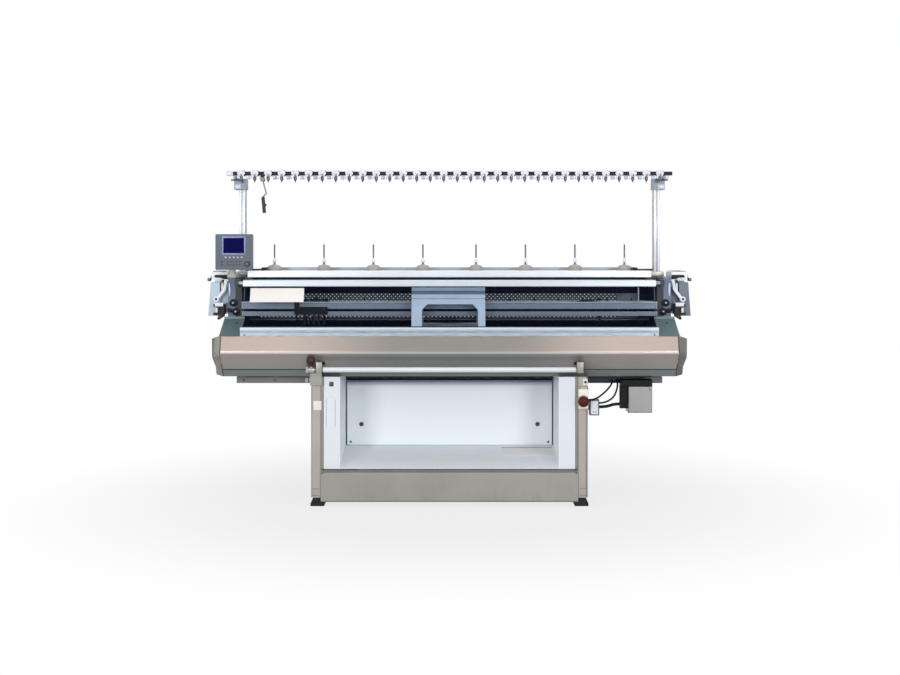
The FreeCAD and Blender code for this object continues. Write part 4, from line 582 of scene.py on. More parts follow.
class Piece:
    """One mesh piece on the bench, from its primitive to its finish.

    Wherever a new piece takes soft and rounds, they are the width of its rounded edges and the
    number of steps across them.
    """

    def __init__(self, name: str) -> None:
        """Takes up the object that an operator has just added."""
        self.obj = bpy.context.object
        self.obj.name = self.obj.data.name = name

    @classmethod
    def block(cls, name: str, low: Point, high: Point, soft: float = 0.0, rounds: int = 2) -> "Piece":
        """Starts from a cube stretched between two corners.

        Args:
            name: the piece's name.
            low, high: the corners.
            soft, rounds: its rounded edges.

        Returns:
            The block.
        """
        deselect()
        middle = [(a + b) / 2 for a, b in zip(low, high)]
        size = [b - a for a, b in zip(low, high)]
        bpy.ops.mesh.primitive_cube_add(size=1, location=middle, scale=size)
        return cls(name).settle().bevel(soft, rounds)

    @classmethod
    def drum(cls, name: str, middle: Point, radius: float, depth: float, axis: Axis = Axis.Z,
             sides: int = 32, soft: float = 0.0, rounds: int = 2) -> "Piece":
        """Starts from a cylinder that lies along an axis.

        Args:
            name: the piece's name.
            middle: where it lies.
            radius, depth: its size.
            axis: its axis.
            sides: how many flats go round it.
            soft, rounds: its rounded edges.

        Returns:
            The cylinder.
        """
        deselect()
        bpy.ops.mesh.primitive_cylinder_add(
            vertices=sides, radius=radius, depth=depth, location=middle, rotation=axis.value
        )
        return cls(name).settle().bevel(soft, rounds)

    @classmethod
    def empty(cls, name: str) -> tuple["Piece", bmesh.types.BMesh]:
        """Starts with no faces at all, and stays in edit mode.

        Args:
            name: the piece's name.

        Returns:
            The piece and its mesh for editing.
        """
        deselect()
        bpy.ops.mesh.primitive_plane_add(size=SEED)
        piece = cls(name)
        bpy.ops.object.mode_set(mode="EDIT")
        bpy.ops.mesh.delete(type="VERT")
        return piece, bmesh.from_edit_mesh(piece.obj.data)

    @classmethod
    def turned(cls, name: str, base: Point, outline: Sequence[Flat], axis: Axis = Axis.Z,
               sides: int = 32) -> "Piece":
        """Turns an outline round an axis, as on a lathe.

        Args:
            name: the piece's name.
            base: where the axis starts.
            outline: radius and height of each point, both ends on the axis.
            axis: the axis's direction.
            sides: how many flats go round it.

        Returns:
            The turned piece.
        """
        piece, mesh = cls.empty(name)
        points = [mesh.verts.new((radius, 0, height)) for radius, height in outline]
        for start, end in zip(points, points[1:]):
            mesh.edges.new((start, end))
        bmesh.update_edit_mesh(piece.obj.data)
        bpy.ops.mesh.select_all(action="SELECT")
        bpy.ops.mesh.spin(steps=sides, angle=math.tau, center=(0, 0, 0), axis=(0, 0, 1))
        bpy.ops.mesh.select_all(action="SELECT")
        bpy.ops.mesh.remove_doubles(threshold=MERGE)
        bpy.ops.mesh.dissolve_degenerate(threshold=DEGENERATE)
        bpy.ops.mesh.normals_make_consistent(inside=False)
        piece.leave()
        piece.obj.rotation_euler = axis.value
        piece.obj.location = base
        return piece.settle()

    @classmethod
    def sheet(cls, name: str, outline: Sequence[Flat], start: float, end: float, across: Axis = Axis.X,
              soft: float = 0.0, rounds: int = 2) -> "Piece":
        """Draws a closed outline out between two places along an axis.

        Args:
            name: the piece's name.
            outline: the outline's points: Y and Z across X, X and Z across Y, X and Y across Z.
            start, end: where it starts and ends on the axis.
            across: the axis that it is drawn along.
            soft, rounds: its rounded edges.

        Returns:
            The drawn piece.
        """
        slot = (Axis.X, Axis.Y, Axis.Z).index(across)
        piece, mesh = cls.empty(name)
        mesh.faces.new([mesh.verts.new((*point[:slot], start, *point[slot:])) for point in outline])
        bmesh.update_edit_mesh(piece.obj.data)
        bpy.ops.mesh.select_all(action="SELECT")
        move = [end - start if i == slot else 0.0 for i in range(3)]
        bpy.ops.mesh.extrude_region_move(TRANSFORM_OT_translate={"value": move})
        bpy.ops.mesh.select_all(action="SELECT")
        bpy.ops.mesh.normals_make_consistent(inside=False)
        return piece.leave().bevel(soft, rounds)

    def activate(self) -> None:
        """Selects this piece alone and makes it the active one."""
        deselect()
        self.obj.select_set(True)
        bpy.context.view_layer.objects.active = self.obj

    def settle(self) -> "Piece":
        """Applies the object's place, turn and size to its mesh.

        Returns:
            The piece.
        """
        self.activate()
        bpy.ops.object.transform_apply(location=True, rotation=True, scale=True)
        return self

    def pick(self, wanted: Callable[[Vector, Vector], bool]) -> "Piece":
        """Enters edit mode and selects faces.

        Args:
            wanted: says by a face's middle and normal whether it is selected.

        Returns:
            The piece, in edit mode.
        """
        self.activate()
        bpy.ops.object.mode_set(mode="EDIT")
        bpy.ops.mesh.select_mode(type="FACE")
        bpy.ops.mesh.select_all(action="DESELECT")
        mesh = bmesh.from_edit_mesh(self.obj.data)
        for face in mesh.faces:
            face.select_set(bool(wanted(face.calc_center_median(), face.normal)))
        mesh.select_flush_mode()
        bmesh.update_edit_mesh(self.obj.data)
        return self

    def inset(self, width: float, depth: float) -> "Piece":
        """Insets the picked faces, and sinks or raises them, and leaves edit mode."""
        bpy.ops.mesh.inset(thickness=width, depth=depth)
        return self.leave()

    def resize(self, scale: Point, centre: Point) -> "Piece":
        """Scales the picked faces about a point, and leaves edit mode."""
        bpy.ops.transform.resize(value=scale, center_override=centre)
        return self.leave()

    def leave(self) -> "Piece":
        """Leaves edit mode."""
        bpy.ops.object.mode_set(mode="OBJECT")
        return self

    def modify(self, kind: str, **settings: Value) -> "Piece":
        """Adds a modifier and applies it.

        Args:
            kind: the modifier's type.
            settings: its settings.

        Returns:
            The piece.
        """
        self.activate()
        change = self.obj.modifiers.new(kind.title(), kind)
        for name, value in settings.items():
            setattr(change, name, value)
        bpy.ops.object.modifier_apply(modifier=change.name)
        return self

    def bevel(self, width: float, rounds: int = 2) -> "Piece":
        """Rounds the sharp edges, unless the width is nothing."""
        return self.modify("BEVEL", width=width, segments=rounds, limit_method="ANGLE") if width else self

    def smooth(self, angle: float) -> "Piece":
        """Shades smooth across every edge flatter than an angle in degrees.

        Args:
            angle: the angle in degrees.

        Returns:
            The piece.
        """
        self.activate()
        bpy.ops.object.shade_smooth_by_angle(angle=math.radians(angle))
        return self

    def copy(self, name: str, change: Matrix) -> "Piece":
        """Copies the piece with a mesh of its own.

        Args:
            name: the copy's name.
            change: the matrix that moves or mirrors it.

        Returns:
            The copy.
        """
        twin = Piece.__new__(Piece)
        twin.obj = self.obj.copy()
        twin.obj.data = self.obj.data.copy()
        twin.obj.name = twin.obj.data.name = name
        bpy.context.collection.objects.link(twin.obj)
        twin.obj.data.transform(change)
        if change.determinant() < 0:
            twin.obj.data.flip_normals()
        return twin

    def moved(self, name: str, x: float = 0.0, y: float = 0.0, z: float = 0.0) -> "Piece":
        """Copies the piece to another place."""
        return self.copy(name, Matrix.Translation((x, y, z)))

    def mirrored(self, name: str) -> "Piece":
        """Copies the piece to the machine's other end."""
        return self.copy(name, Matrix.Diagonal((-1, 1, 1, 1)))

    def join(self, *others: "Piece") -> "Piece":
        """Joins other pieces into this one.

        Args:
            others: the pieces that it takes in.

        Returns:
            The piece.
        """
        self.activate()
        for other in others:
            other.obj.select_set(True)
        bpy.ops.object.join()
        return self

    def both(self) -> "Piece":
        """Joins the piece with its mirror image."""
        return self.join(self.mirrored(f"{self.obj.name}_left"))

    def spread(self, places: Sequence[Point]) -> "Piece":
        """Moves the piece to the first of some places, and joins it with a copy at each other.

        Args:
            places: how far each one stands from where the piece is now.

        Returns:
            The piece with its copies.
        """
        copies = [self.moved(f"{self.obj.name}_{i}", *place) for i, place in enumerate(places[1:])]
        self.obj.data.transform(Matrix.Translation(places[0]))
        return self.join(*copies)


@dataclass
class Assembly:
    """A sub-assembly: it models its pieces, dresses them and fixes them to the frame."""

    rack: Rack

    def fit(self, piece: Piece, finish: str, body: str = "frame", slot: str = "",
            replaces: str = "", angle: float = 35.0) -> None:
        """Shades one piece, dresses it and fixes it to its body.

        Args:
            piece: the modelled piece.
            finish: the name of its finish.
            body: the CAD body that it rides on.
            slot: the record's material slot, where it isn't the finish's; it is not used.
            replaces: the CAD node that it stands for.
            angle: edges flatter than this, in degrees, are shaded smooth, and none at 0.
        """
        if angle:
            piece.smooth(angle)
        piece.obj.data.materials.clear()
        piece.obj.data.materials.append(self.rack.materials[finish])
        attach(piece.obj, body)
        if replaces:
            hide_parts(replaces)
        log.info("%s: %s on %s", piece.obj.name, finish, body)

    def blocks(self, finish: str, *rows: tuple, both: bool = False, body: str = "frame",
               slot: str = "") -> None:
        """Models blocks that form one piece, and fits it.

        Args:
            finish: the name of its finish.
            rows: each block's name, two corners, and its soft and rounds; the first names the piece.
            both: whether its mirror image belongs to it.
            body: the CAD body that it rides on.
            slot: the record's material slot, where it isn't the finish's.
        """
        first, *others = [Piece.block(*row) for row in rows]
        piece = first.join(*others)
        self.fit(piece.both() if both else piece, finish, body, slot)

    def pair(self, piece: Piece, finish: str, body: str = "frame", replaces: str = "") -> None:
        """Fits a piece that is made for the right end, and its mirror image for the left.

        Args:
            piece: the modelled piece, with right in its name.
            finish: the name of its finish.
            body: the CAD body that it rides on.
            replaces: the CAD node that the pair stands for.
        """
        left = piece.mirrored(piece.obj.name.replace("right", "left"))
        self.fit(left, finish, body.replace("right", "left"), replaces=replaces)
        self.fit(piece, finish, body, replaces=replaces)

    def screws(self, name: str, places: Sequence[Point], radius: float, axis: Axis = Axis.FRONT,
               body: str = "frame") -> None:
        """Turns a pan-head screw with a socket, copies it to every place and joins them.

        Args:
            name: the pieces' name.
            places: where each head sits.
            radius: the head's radius.
            axis: FRONT for heads that face the knitter, Z for heads that face up.
            body: the CAD body that they ride on.
        """
        tall, sunk = radius * 0.7, -0.001
        outline = [(0, sunk), (radius, sunk), (radius, tall * 0.4), (radius * 0.8, tall * 0.9)]
        outline += [(radius * 0.5, tall), (radius * 0.45, tall * 0.4), (0, tall * 0.4)]
        first = Piece.turned(name, places[0], outline, axis, 20)
        self.fit(first.spread([Vector(place) - Vector(places[0]) for place in places]), "black_screw", body)

    def plates(self, finish: str, *rows: tuple[str, Point, Point]) -> None:
        """Cuts thin plates and rounds their corners and edges.

        Args:
            finish: the name of their finish.
            rows: each plate's name and its two corners.
        """
        for name, low, high in rows:
            thick = min(b - a for a, b in zip(low, high))
            self.fit(Piece.block(name, low, high, min(thick * 0.45, 0.001)), finish)


# ---------------------------------------------------------------- the machine's finishes

FINISHES = (
    FlakePaint("beige_metallic", (180, 175, 167), 0.36, 0.35, coat=0.25, scuff=0.35),
    # The band at the kick beam's foot is painted shade.
    FlakePaint("kick_paint", (149, 147, 140), 0.36, 0.3, coat=0.2, scuff=0.3,
               bands=stripes(Split.Z, (0.0, 0.031, (92, 96, 92), 0.001))),
    # The darker strips along each column's edges are painted shade.
    FlakePaint("column_paint", (164, 158, 150), 0.36, 0.3, coat=0.2, scuff=0.35,
               bands=stripes(Split.X, (-0.7142, -0.700, (126, 124, 118), 0.001),
                             (-0.770, -0.7592, (138, 135, 130), 0.001),
                             (0.700, 0.7128, (112, 112, 108), 0.001),
                             (0.7465, 0.770, (136, 134, 130), 0.006))),
    # Painted light on the front cover: lighter ends, a shaded face below the fold and a highlight along the
    # fold.
    LongPaint("cover_paint", (128, 125, 117), 0.34, 0.35, coat=0.3, ends=(178, 163, 155),
              under=(124, 127, 125),
              under_ends=(150, 144, 140), bands=stripes(Split.Z, (0.0, 0.7545, (110, 117, 116)))),
    FlakePaint("box_paint", (143, 143, 142), 0.38, 0.3, "beige_metallic", coat=0.2),
    FlakePaint("hanger_paint", (146, 148, 138), 0.4, 0.3, "beige_metallic", coat=0.1),
    Finish("white_paint", (226, 231, 240), 0.38, coat=0.15, drift=0.02, grain_scale=350,
           grain_depth=0.0001),
    Finish("blue_grey_metal", (158, 174, 200), 0.36, 0.3, coat=0.1, drift=0.05),
    Casting("cast_grey", (146, 158, 168), 0.5, 0.1, "blue_grey_metal", drift=0.07),
    Casting("frame_paint", (96, 112, 134), 0.5, 0.1, drift=0.07,
            bands=stripes(Split.X, (-1.212, 1.212, (24, 29, 46)))),
    Extrusion("aluminium", (222, 227, 236), 0.34, 0.45),
    Extrusion("top_silver", (224, 229, 235), 0.34, 0.3,
              bands=stripes(Split.Z, (1.2, 1.2700, (196, 205, 216), 0.006))),
    Extrusion("cover_silver", (198, 206, 215), 0.34, 0.3,
              bands=stripes(Split.Z, (0.9, 0.9790, (128, 145, 162), 0.004),
                            (0.9, 0.9440, (104, 112, 120), 0.001),
                            (1.15, 1.2190, (178, 190, 204), 0.004))
              + end_stripes((1.1492, 1.3, (34, 39, 54)))),
    # The paler band along the feeder rails' top is a painted highlight on their lip.
    Extrusion("feeder_silver", (120, 136, 156), 0.4, 0.15,
              bands=stripes(Split.Z, (1.1120, 1.2, (176, 192, 208)), (1.0760, 1.0800, (54, 62, 78)),
                            (1.1060, 1.1100, (54, 62, 78)))),
    # The mast bands are painted shade: on each mast's inner side, in its front slot and along its outer
    # edge.
    Extrusion("mast_silver", (240, 243, 247), 0.36, 0.15, "aluminium", stretch=(1.0, 1.0, 0.02),
              bands=end_stripes((1.187, 1.1908, (100, 104, 112)), (1.2012, 1.2108, (150, 154, 164)),
                                (1.2205, 1.225, (190, 194, 202)))),
    Extrusion("steel", (176, 180, 188), 0.3, 0.85, grain_scale=700),
    Finish("black_plastic", (13, 13, 18), 0.5, grain_scale=900, grain_depth=0.00012, gloss=0.25),
    Finish("grey_plastic", (91, 102, 113), 0.48, grain_scale=900, grain_depth=0.00012, drift=0.03,
           gloss=0.3),
    Pane("tinted_pane", (22, 30, 54), 0.04, body=0.10, gloss=0.05),
    Display("screen_glass", (2, 3, 66), 0.35, glow=0.5, gloss=0.02),
    Finish("red_plastic", (74, 16, 8), 0.42, drift=0.1, grain_scale=900, gloss=0.2),
    Finish("rubber", (17, 22, 31), 0.72, drift=0.15, scuff=0.5, scuff_top=0.06, grain_scale=500, gloss=0.3),
    Finish("dark_green_paint", (92, 112, 114), 0.4, 0.15, drift=0.12),
    Finish("circuit_green", (30, 92, 58), 0.45, drift=0.2),
    Casting("cast_iron", (34, 40, 56), 0.5, 0.2, drift=0.12, gloss=0.3),
    Finish("dark_sheet", (66, 75, 88), 0.5, 0.2, "cast_iron", drift=0.1),
    Finish("plain_sheet", (112, 124, 138), 0.5, 0.2, "cast_iron"),
    Finish("maroon_plastic", (36, 10, 24), 0.4, 0.0, "red_plastic", coat=0.1, drift=0.12, grain_scale=900,
           gloss=0.3),
    Finish("motor_black", (8, 9, 15), 0.45, drift=0.1, grain_scale=900, gloss=0.15),
    TrickedSteel("bed_steel", (10, 15, 32), 0.42, 0.1, drift=0.1, grain_scale=700, gloss=0.15),
    Finish("lock_steel", (74, 78, 84), 0.35, 0.7, "steel", drift=0.1),
    Finish("spindle_dark", (84, 88, 96), 0.35, 0.4, "steel", drift=0.1),
    Finish("clamp_inlay", (190, 196, 218), 0.4, 0.2, "blue_grey_metal", drift=0.04),
    # The band on the recess's side panels is painted shade.
    Finish("recess_white", (246, 251, 255), 0.5, drift=0.01, grain_scale=350, grain_depth=0.0001,
           bands=end_stripes((0.606, 0.8, (230, 236, 242)))),
    # The band over the door's forward-leaning top is painted shade.
    Finish("door_paint", (244, 251, 255), 0.5, drift=0.01, grain_scale=350, grain_depth=0.0001,
           bands=stripes(Split.Z, (0.612, 0.9, (166, 174, 188), 0.03))),
    Finish("carriage_paint", (188, 210, 234), 0.36, 0.15, coat=0.1, drift=0.04,
           bands=stripes(Split.Z, (1.1635, 1.1845, (104, 126, 150)), (1.1385, 1.1420, (128, 148, 170)))),
    Finish("tray_paint", (112, 112, 110), 0.45, 0.15, drift=0.1, gloss=0.3,
           bands=stripes(Split.X, (0.0, 1.092, (30, 33, 46)), (1.092, 2.0, (100, 101, 108)))),
    # The cap bands are painted shade: the right cap darker than the left, and the left cap darker at its
    # outer part.
    Finish("cap_paint", (133, 131, 125), 0.38, 0.3, coat=0.2,
           bands=stripes(Split.X, (0.0, 2.0, (98, 97, 95)), (-2.0, -1.282, (88, 87, 82), 0.01))),
    Finish("switch_paint", (186, 176, 166), 0.4, 0.1, drift=0.05,
           bands=stripes(Split.X, (0.766, 0.9, (84, 84, 98)))),
    Finish("arm_paint", (14, 14, 18), 0.45, 0.2, bands=stripes(Split.Z, (1.7215, 1.9, (112, 126, 122)))),
    Finish("housing_paint", (178, 194, 208), 0.45, 0.1, drift=0.05,
           bands=(Band(Split.X, 0.0, 2.0, (95, 107, 122)), Band(Split.Z, 1.2355, 2.0, (232, 236, 240)))),
    Finish("white_plastic", (228, 230, 236), 0.4, 0.0, "white_paint", drift=0.03, grain_scale=800),
    Finish("bare_label", (250, 248, 244), 0.55, 0.0, "white_paint", drift=0.015, grain_scale=1200,
           grain_depth=0.00003),
    Finish("cream_label", (240, 236, 230), 0.55, 0.0, "white_paint", drift=0.03, grain_scale=1200,
           grain_depth=0.00003),
    Finish("bezel_grey", (140, 146, 186), 0.4, 0.0, "grey_plastic", drift=0.03, grain_scale=900, gloss=0.3),
    Finish("key_dark", (44, 56, 60), 0.5, 0.0, "grey_plastic", drift=0.08, grain_scale=900),
    Finish("key_pale", (206, 208, 214), 0.45, 0.0, "grey_plastic", drift=0.03, grain_scale=900),
    Finish("cone_base", (166, 166, 162), 0.5, 0.0, "grey_plastic", drift=0.07, grain_scale=700),
    Finish("hook_dark", (96, 94, 112), 0.4, 0.4, "steel", drift=0.2),
    Finish("guide_grey", (158, 160, 176), 0.4, 0.4, "steel", drift=0.25, drift_scale=30),
    Finish("black_screw", (30, 32, 36), 0.35, 0.5, "steel", drift=0.1),
    Finish("navy_band", (18, 22, 42), 0.5, 0.0, "cast_iron", drift=0.15, gloss=0.15),
    Finish("grip_grey", (104, 122, 120), 0.45, 0.0, "grey_plastic", drift=0.1, grain_scale=900),
    Finish("cable_sheath", (10, 10, 14), 0.5, drift=0.1, grain_scale=1500, gloss=0.2),
    TwoTone("shelf_paint", (156, 162, 168), 0.4, 0.25, upper=(172, 179, 186), level=1.3035),
)


@dataclass
class YarnRail(Assembly):
    """The rail over the machine: its clamps, hooks and plates, and the two masts that carry it."""

    count: int = 32
    pitch: float = 0.07816
    shift: float = 0.006
    y: float = 0.088
    low: float = 1.843
    clamp_half: float = 0.024
    clamp_end: float = 0.015
    clamp_depth: float = 0.021
    clamp_low: float = 1.837
    clamp_mid: float = 1.8555
    clamp_high: float = 1.874
    mast_x: float = 1.206
    mast_half: float = 0.018
    mast_front: float = 0.120
    mast_back: float = 0.190
    mast_low: float = 1.286
    mast_high: float = 1.825
    slot_half: float = 0.0045
    slot_depth: float = 0.006
    cap_half: float = 0.0135

    def clamp(self) -> Piece:
        """Models one white six-sided clamp that saddles the rail, with its raised ear and horn.

        Returns:
            The first clamp.
        """
        half, end, depth, mid = self.clamp_half, self.clamp_end, self.clamp_depth, self.clamp_mid
        front, back = self.y - depth, self.y + depth
        outline = [(-end, self.clamp_low), (end, self.clamp_low), (half, mid), (end, self.clamp_high)]
        outline += [(-end, self.clamp_high), (-half, mid)]
        body = Piece.sheet("clamps", outline, front, back, Axis.Y, 0.003)
        ear = Piece.block("ear", (-0.014, front - 0.003, mid - 0.008), (0.010, front + 0.004, mid + 0.014))
        ear.pick(lambda middle, normal: normal.y < -FACING).resize((0.6, 1, 0.7), (0, self.y, mid))
        crescent = profile(-21, 1836.5, -8, 1838.5, -10, 1828, -16, 1823, -21, 1826)
        horn = Piece.sheet("horn", crescent, front - 0.002, front + 0.006, Axis.Y, 0.0015, 1)
        return body.join(ear.bevel(0.002), horn)

    def hook(self) -> Piece:
        """Models one unit's dark guide knob, its eye on the clamp and the tip at the horn.

        Returns:
            The first knob.
        """
        y = self.y
        line = profile(0, 1800.5, 1.8, 1801, 3, 1808, 6, 1813, 9.5, 1817,
                       9.5, 1830, 8, 1834, 8, 1837, 0, 1837)
        knob = Piece.turned("hooks", (0, y - 0.006, 0), line, sides=16)
        eye_place = (0.002, y - self.clamp_depth - 0.003, 1.8440)
        eye = Piece.drum("eye", eye_place, 0.0050, 0.004, Axis.Y, 12, 0.001, 1)
        tip = Piece.block("tip", (-0.023, y - 0.0235, 1.8225), (-0.017, y - 0.0165, 1.8275), 0.001, 1)
        return knob.join(eye, tip)

    def chevron(self) -> Piece:
        """Models the dark slot plate on the right of each clamp.

        Returns:
            The first plate.
        """
        half, depth, mid = self.clamp_half, self.clamp_depth * 0.9, self.clamp_mid
        outline = [(0.0152, self.clamp_high - 0.001), (half + 0.0045, mid),
                   (0.0190, self.clamp_low + 0.002)]
        outline += [(0.0160, self.clamp_low + 0.002), (half + 0.0005, mid),
                    (0.0122, self.clamp_high - 0.001)]
        return Piece.sheet("chevrons", outline, self.y - depth, self.y + depth, Axis.Y, 0.0006, 1)

    def guide(self) -> Piece:
        """Models one grey guide plate under the rail, from clamp to clamp.

        Returns:
            The first plate.
        """
        low, edge, y = 1.819, 0.025, self.y
        plate = Piece.block("guide_plates", (edge, y - 0.010, low), (self.pitch - edge, y - 0.006, 1.8429))
        plate.pick(lambda middle, normal: normal.z < -FACING).resize((0.72, 1, 1), (self.pitch / 2, y, low))
        return plate.bevel(0.001)

    def mast(self) -> Piece:
        """Models a mast with a slot in its front and its back.

        Returns:
            The right mast.
        """
        x, half, slot, deep = self.mast_x, self.mast_half, self.slot_half, self.slot_depth
        across = (-half, -slot, -slot, slot, slot, half)
        outline = [(x + u, self.mast_front + v) for u, v in zip(across, (0, 0, deep, deep, 0, 0))]
        outline += [(x - u, self.mast_back - v) for u, v in zip(across, (0, 0, deep, deep, 0, 0))]
        return Piece.sheet("mast_right", outline, self.mast_low, self.mast_high, Axis.Z, 0.0015)

    def masts(self) -> None:
        """Models the masts, their feet and the clamps at their heads, with inlay and lever."""
        x, half, high = self.mast_x, self.mast_half, self.mast_high
        front, back = self.mast_front, self.mast_back
        outer = x + half + 0.027
        foot = Piece.block("mast_foot_right", (x - 0.040, 0.105, 1.257), (x + 0.040, 0.205, self.mast_low),
                           0.004, 3)
        clamp = Piece.block("mast_clamp_right", (x - half - 0.006, front - 0.015, 1.761),
                            (outer, back + 0.015, high), 0.003)
        clamp.join(Piece.block("neck", (outer - 0.014, self.y - 0.011, high - 0.002),
                               (outer, 0.155, self.low), 0.002))
        inlay = Piece.block("clamp_inlay_right", (x + 0.004, front - 0.0185, 1.766),
                            (outer - 0.004, front - 0.0148, 1.792), 0.0012)
        lever = Piece.drum("clamp_lever_right", (x + 0.026, front - 0.019, 1.8170), 0.0050, 0.070, Axis.X,
                           16, 0.001)
        lever.join(Piece.drum("stud", (x - 0.006, front - 0.0175, 1.806), 0.0075, 0.008, Axis.Y, 16, 0.001))
        self.pair(self.mast(), "mast_silver", replaces="masts")
        self.pair(foot, "beige_metallic")
        self.pair(clamp, "cast_grey")
        self.fit(inlay.both(), "clamp_inlay")
        self.fit(lever.both(), "hook_dark")

    def build(self) -> None:
        """Makes the rail's pieces."""
        places = row(self.shift - (self.count - 1) / 2 * self.pitch, self.pitch, self.count)
        self.fit(self.clamp().spread(places), "white_plastic", replaces="tension_units")
        self.fit(self.hook().spread(places), "hook_dark")
        self.fit(self.chevron().spread(places), "black_plastic")
        self.fit(self.guide().spread(places), "guide_grey")
        self.masts()
        low, high = (-1.2912, self.y - self.cap_half, 1.8405), (-1.2520, self.y + self.cap_half, 1.8675)
        self.blocks("clamp_inlay", ("rail_cap", low, high, 0.003, 3), slot="grey_plastic")


@dataclass
class ConeShelf(Assembly):
    """The shelf at the back with its eight cone stands."""

    first: float = 0.154
    pitch: float = 0.287
    per_side: int = 4
    y: float = 0.100
    floor: float = 1.292

    def build(self) -> None:
        """Turns the bases, the little cones and the spindles, and caps the shelf's ends."""
        right = row(self.first, self.pitch, self.per_side)
        places = [(-x, 0, 0) for x, _, _ in reversed(right)] + right
        base = profile(0, 0, 38.5, 0, 38.5, 5, 37, 6, 37, 9, 38.5, 10, 38.5, 21, 37, 24, 31, 25.5, 30, 30.5,
                       13, 31.5, 12, 36, 0, 36)
        cone = profile(0, 0, 10, 0, 11.5, 4, 9.5, 13, 6, 22, 4.8, 26, 0, 26)
        pin = profile(0, 0, 6, 0, 6, 18, 4.5, 20, 4.5, 118, 3, 122, 0, 122)
        for name, line, rise, sides, finish, node in (
            ("stand_bases", base, 0.0, 40, "cone_base", "cone_stands"),
            ("stand_cones", cone, 0.048, 28, "white_plastic", ""),
            ("stand_spindles", pin, 0.030, 20, "spindle_dark", ""),
        ):
            stand = Piece.turned(name, (0, self.y, self.floor + rise), line, sides=sides)
            self.fit(stand.spread(places), finish, replaces=node)
        end = ("shelf_ends", (1.0650, 0.0235, 1.2755), (1.0815, 0.2412, 1.3105), 0.002)
        self.blocks("black_plastic", end, both=True)


@dataclass
class RearScreen(Assembly):
    """The perforated screen behind the needle beds."""

    half: float = 1.240
    y: float = 0.2403
    low: float = 1.000
    top: float = 1.164
    high: float = 1.300
    brick: float = 0.024
    row: float = 0.012
    hole: tuple[Flat, ...] = ((0.0027, -0.0011), (0.0027, 0.0011), (0, 0.0025))
    border: float = 0.026
    foot: float = 0.011
    lap: float = 0.0005
    thickness: float = 0.0015

    def tile(self) -> Piece:
        """Models one brick of sheet round its six-sided hole.

        Returns:
            The brick.
        """
        half, up = self.brick / 2, self.row / 2
        piece, mesh = Piece.empty("rear_screen")
        brick = ((half, -up), (half, up), (0, up))
        outer, inner = [[mesh.verts.new((side * x, 0, side * z)) for side in (1, -1) for x, z in points]
                        for points in (brick, self.hole)]
        for i, j in zip(range(6), (1, 2, 3, 4, 5, 0)):
            mesh.faces.new((outer[i], outer[j], inner[j], inner[i]))
        bmesh.update_edit_mesh(piece.obj.data)
        return piece.leave()

    def repeat(self, sheet: Piece, count: int, step: Point, merge: bool) -> None:
        """Repeats the sheet along a step, and merges what meets if asked."""
        sheet.modify("ARRAY", count=count, use_relative_offset=False, use_constant_offset=True,
                     constant_offset_displace=step, use_merge_vertices=merge)

    def build(self) -> None:
        """Repeats the brick in staggered rows and frames them."""
        columns = int(2 * (self.half - self.border) / self.brick)
        pairs = int((self.top - self.low - self.foot) / self.row / 2)
        start_x = -(columns - 1) / 2 * self.brick
        start_z = self.low + self.foot + self.row / 2
        sheet = self.tile()
        self.repeat(sheet, columns, (self.brick, 0, 0), True)
        sheet.join(sheet.moved("row", x=self.brick / 2, z=self.row))
        self.repeat(sheet, pairs, (0, 0, 2 * self.row), False)
        sheet.obj.data.transform(Matrix.Translation((start_x - self.brick / 4, self.y + self.thickness,
                                                     start_z)))
        sheet.modify("SOLIDIFY", thickness=self.thickness, offset=0)
        y0, y1 = self.y, self.y + 2 * self.thickness
        x0, x1 = self.half - self.border - self.brick / 2, self.half
        z0, z1 = self.low + self.foot + self.lap, start_z + (2 * pairs - 0.5) * self.row - self.lap
        sheet.join(
            Piece.block("low", (-x1, y0, self.low), (x1, y1, z0)),
            Piece.block("high", (-x1, y0, z1), (x1, y1, self.high)),
            Piece.block("left", (-x1, y0, z0), (-x0, y1, z1)),
            Piece.block("right", (x0, y0, z0), (x1, y1, z1)),
        )
        self.fit(sheet, "dark_sheet", replaces="mesh_panel", angle=0)


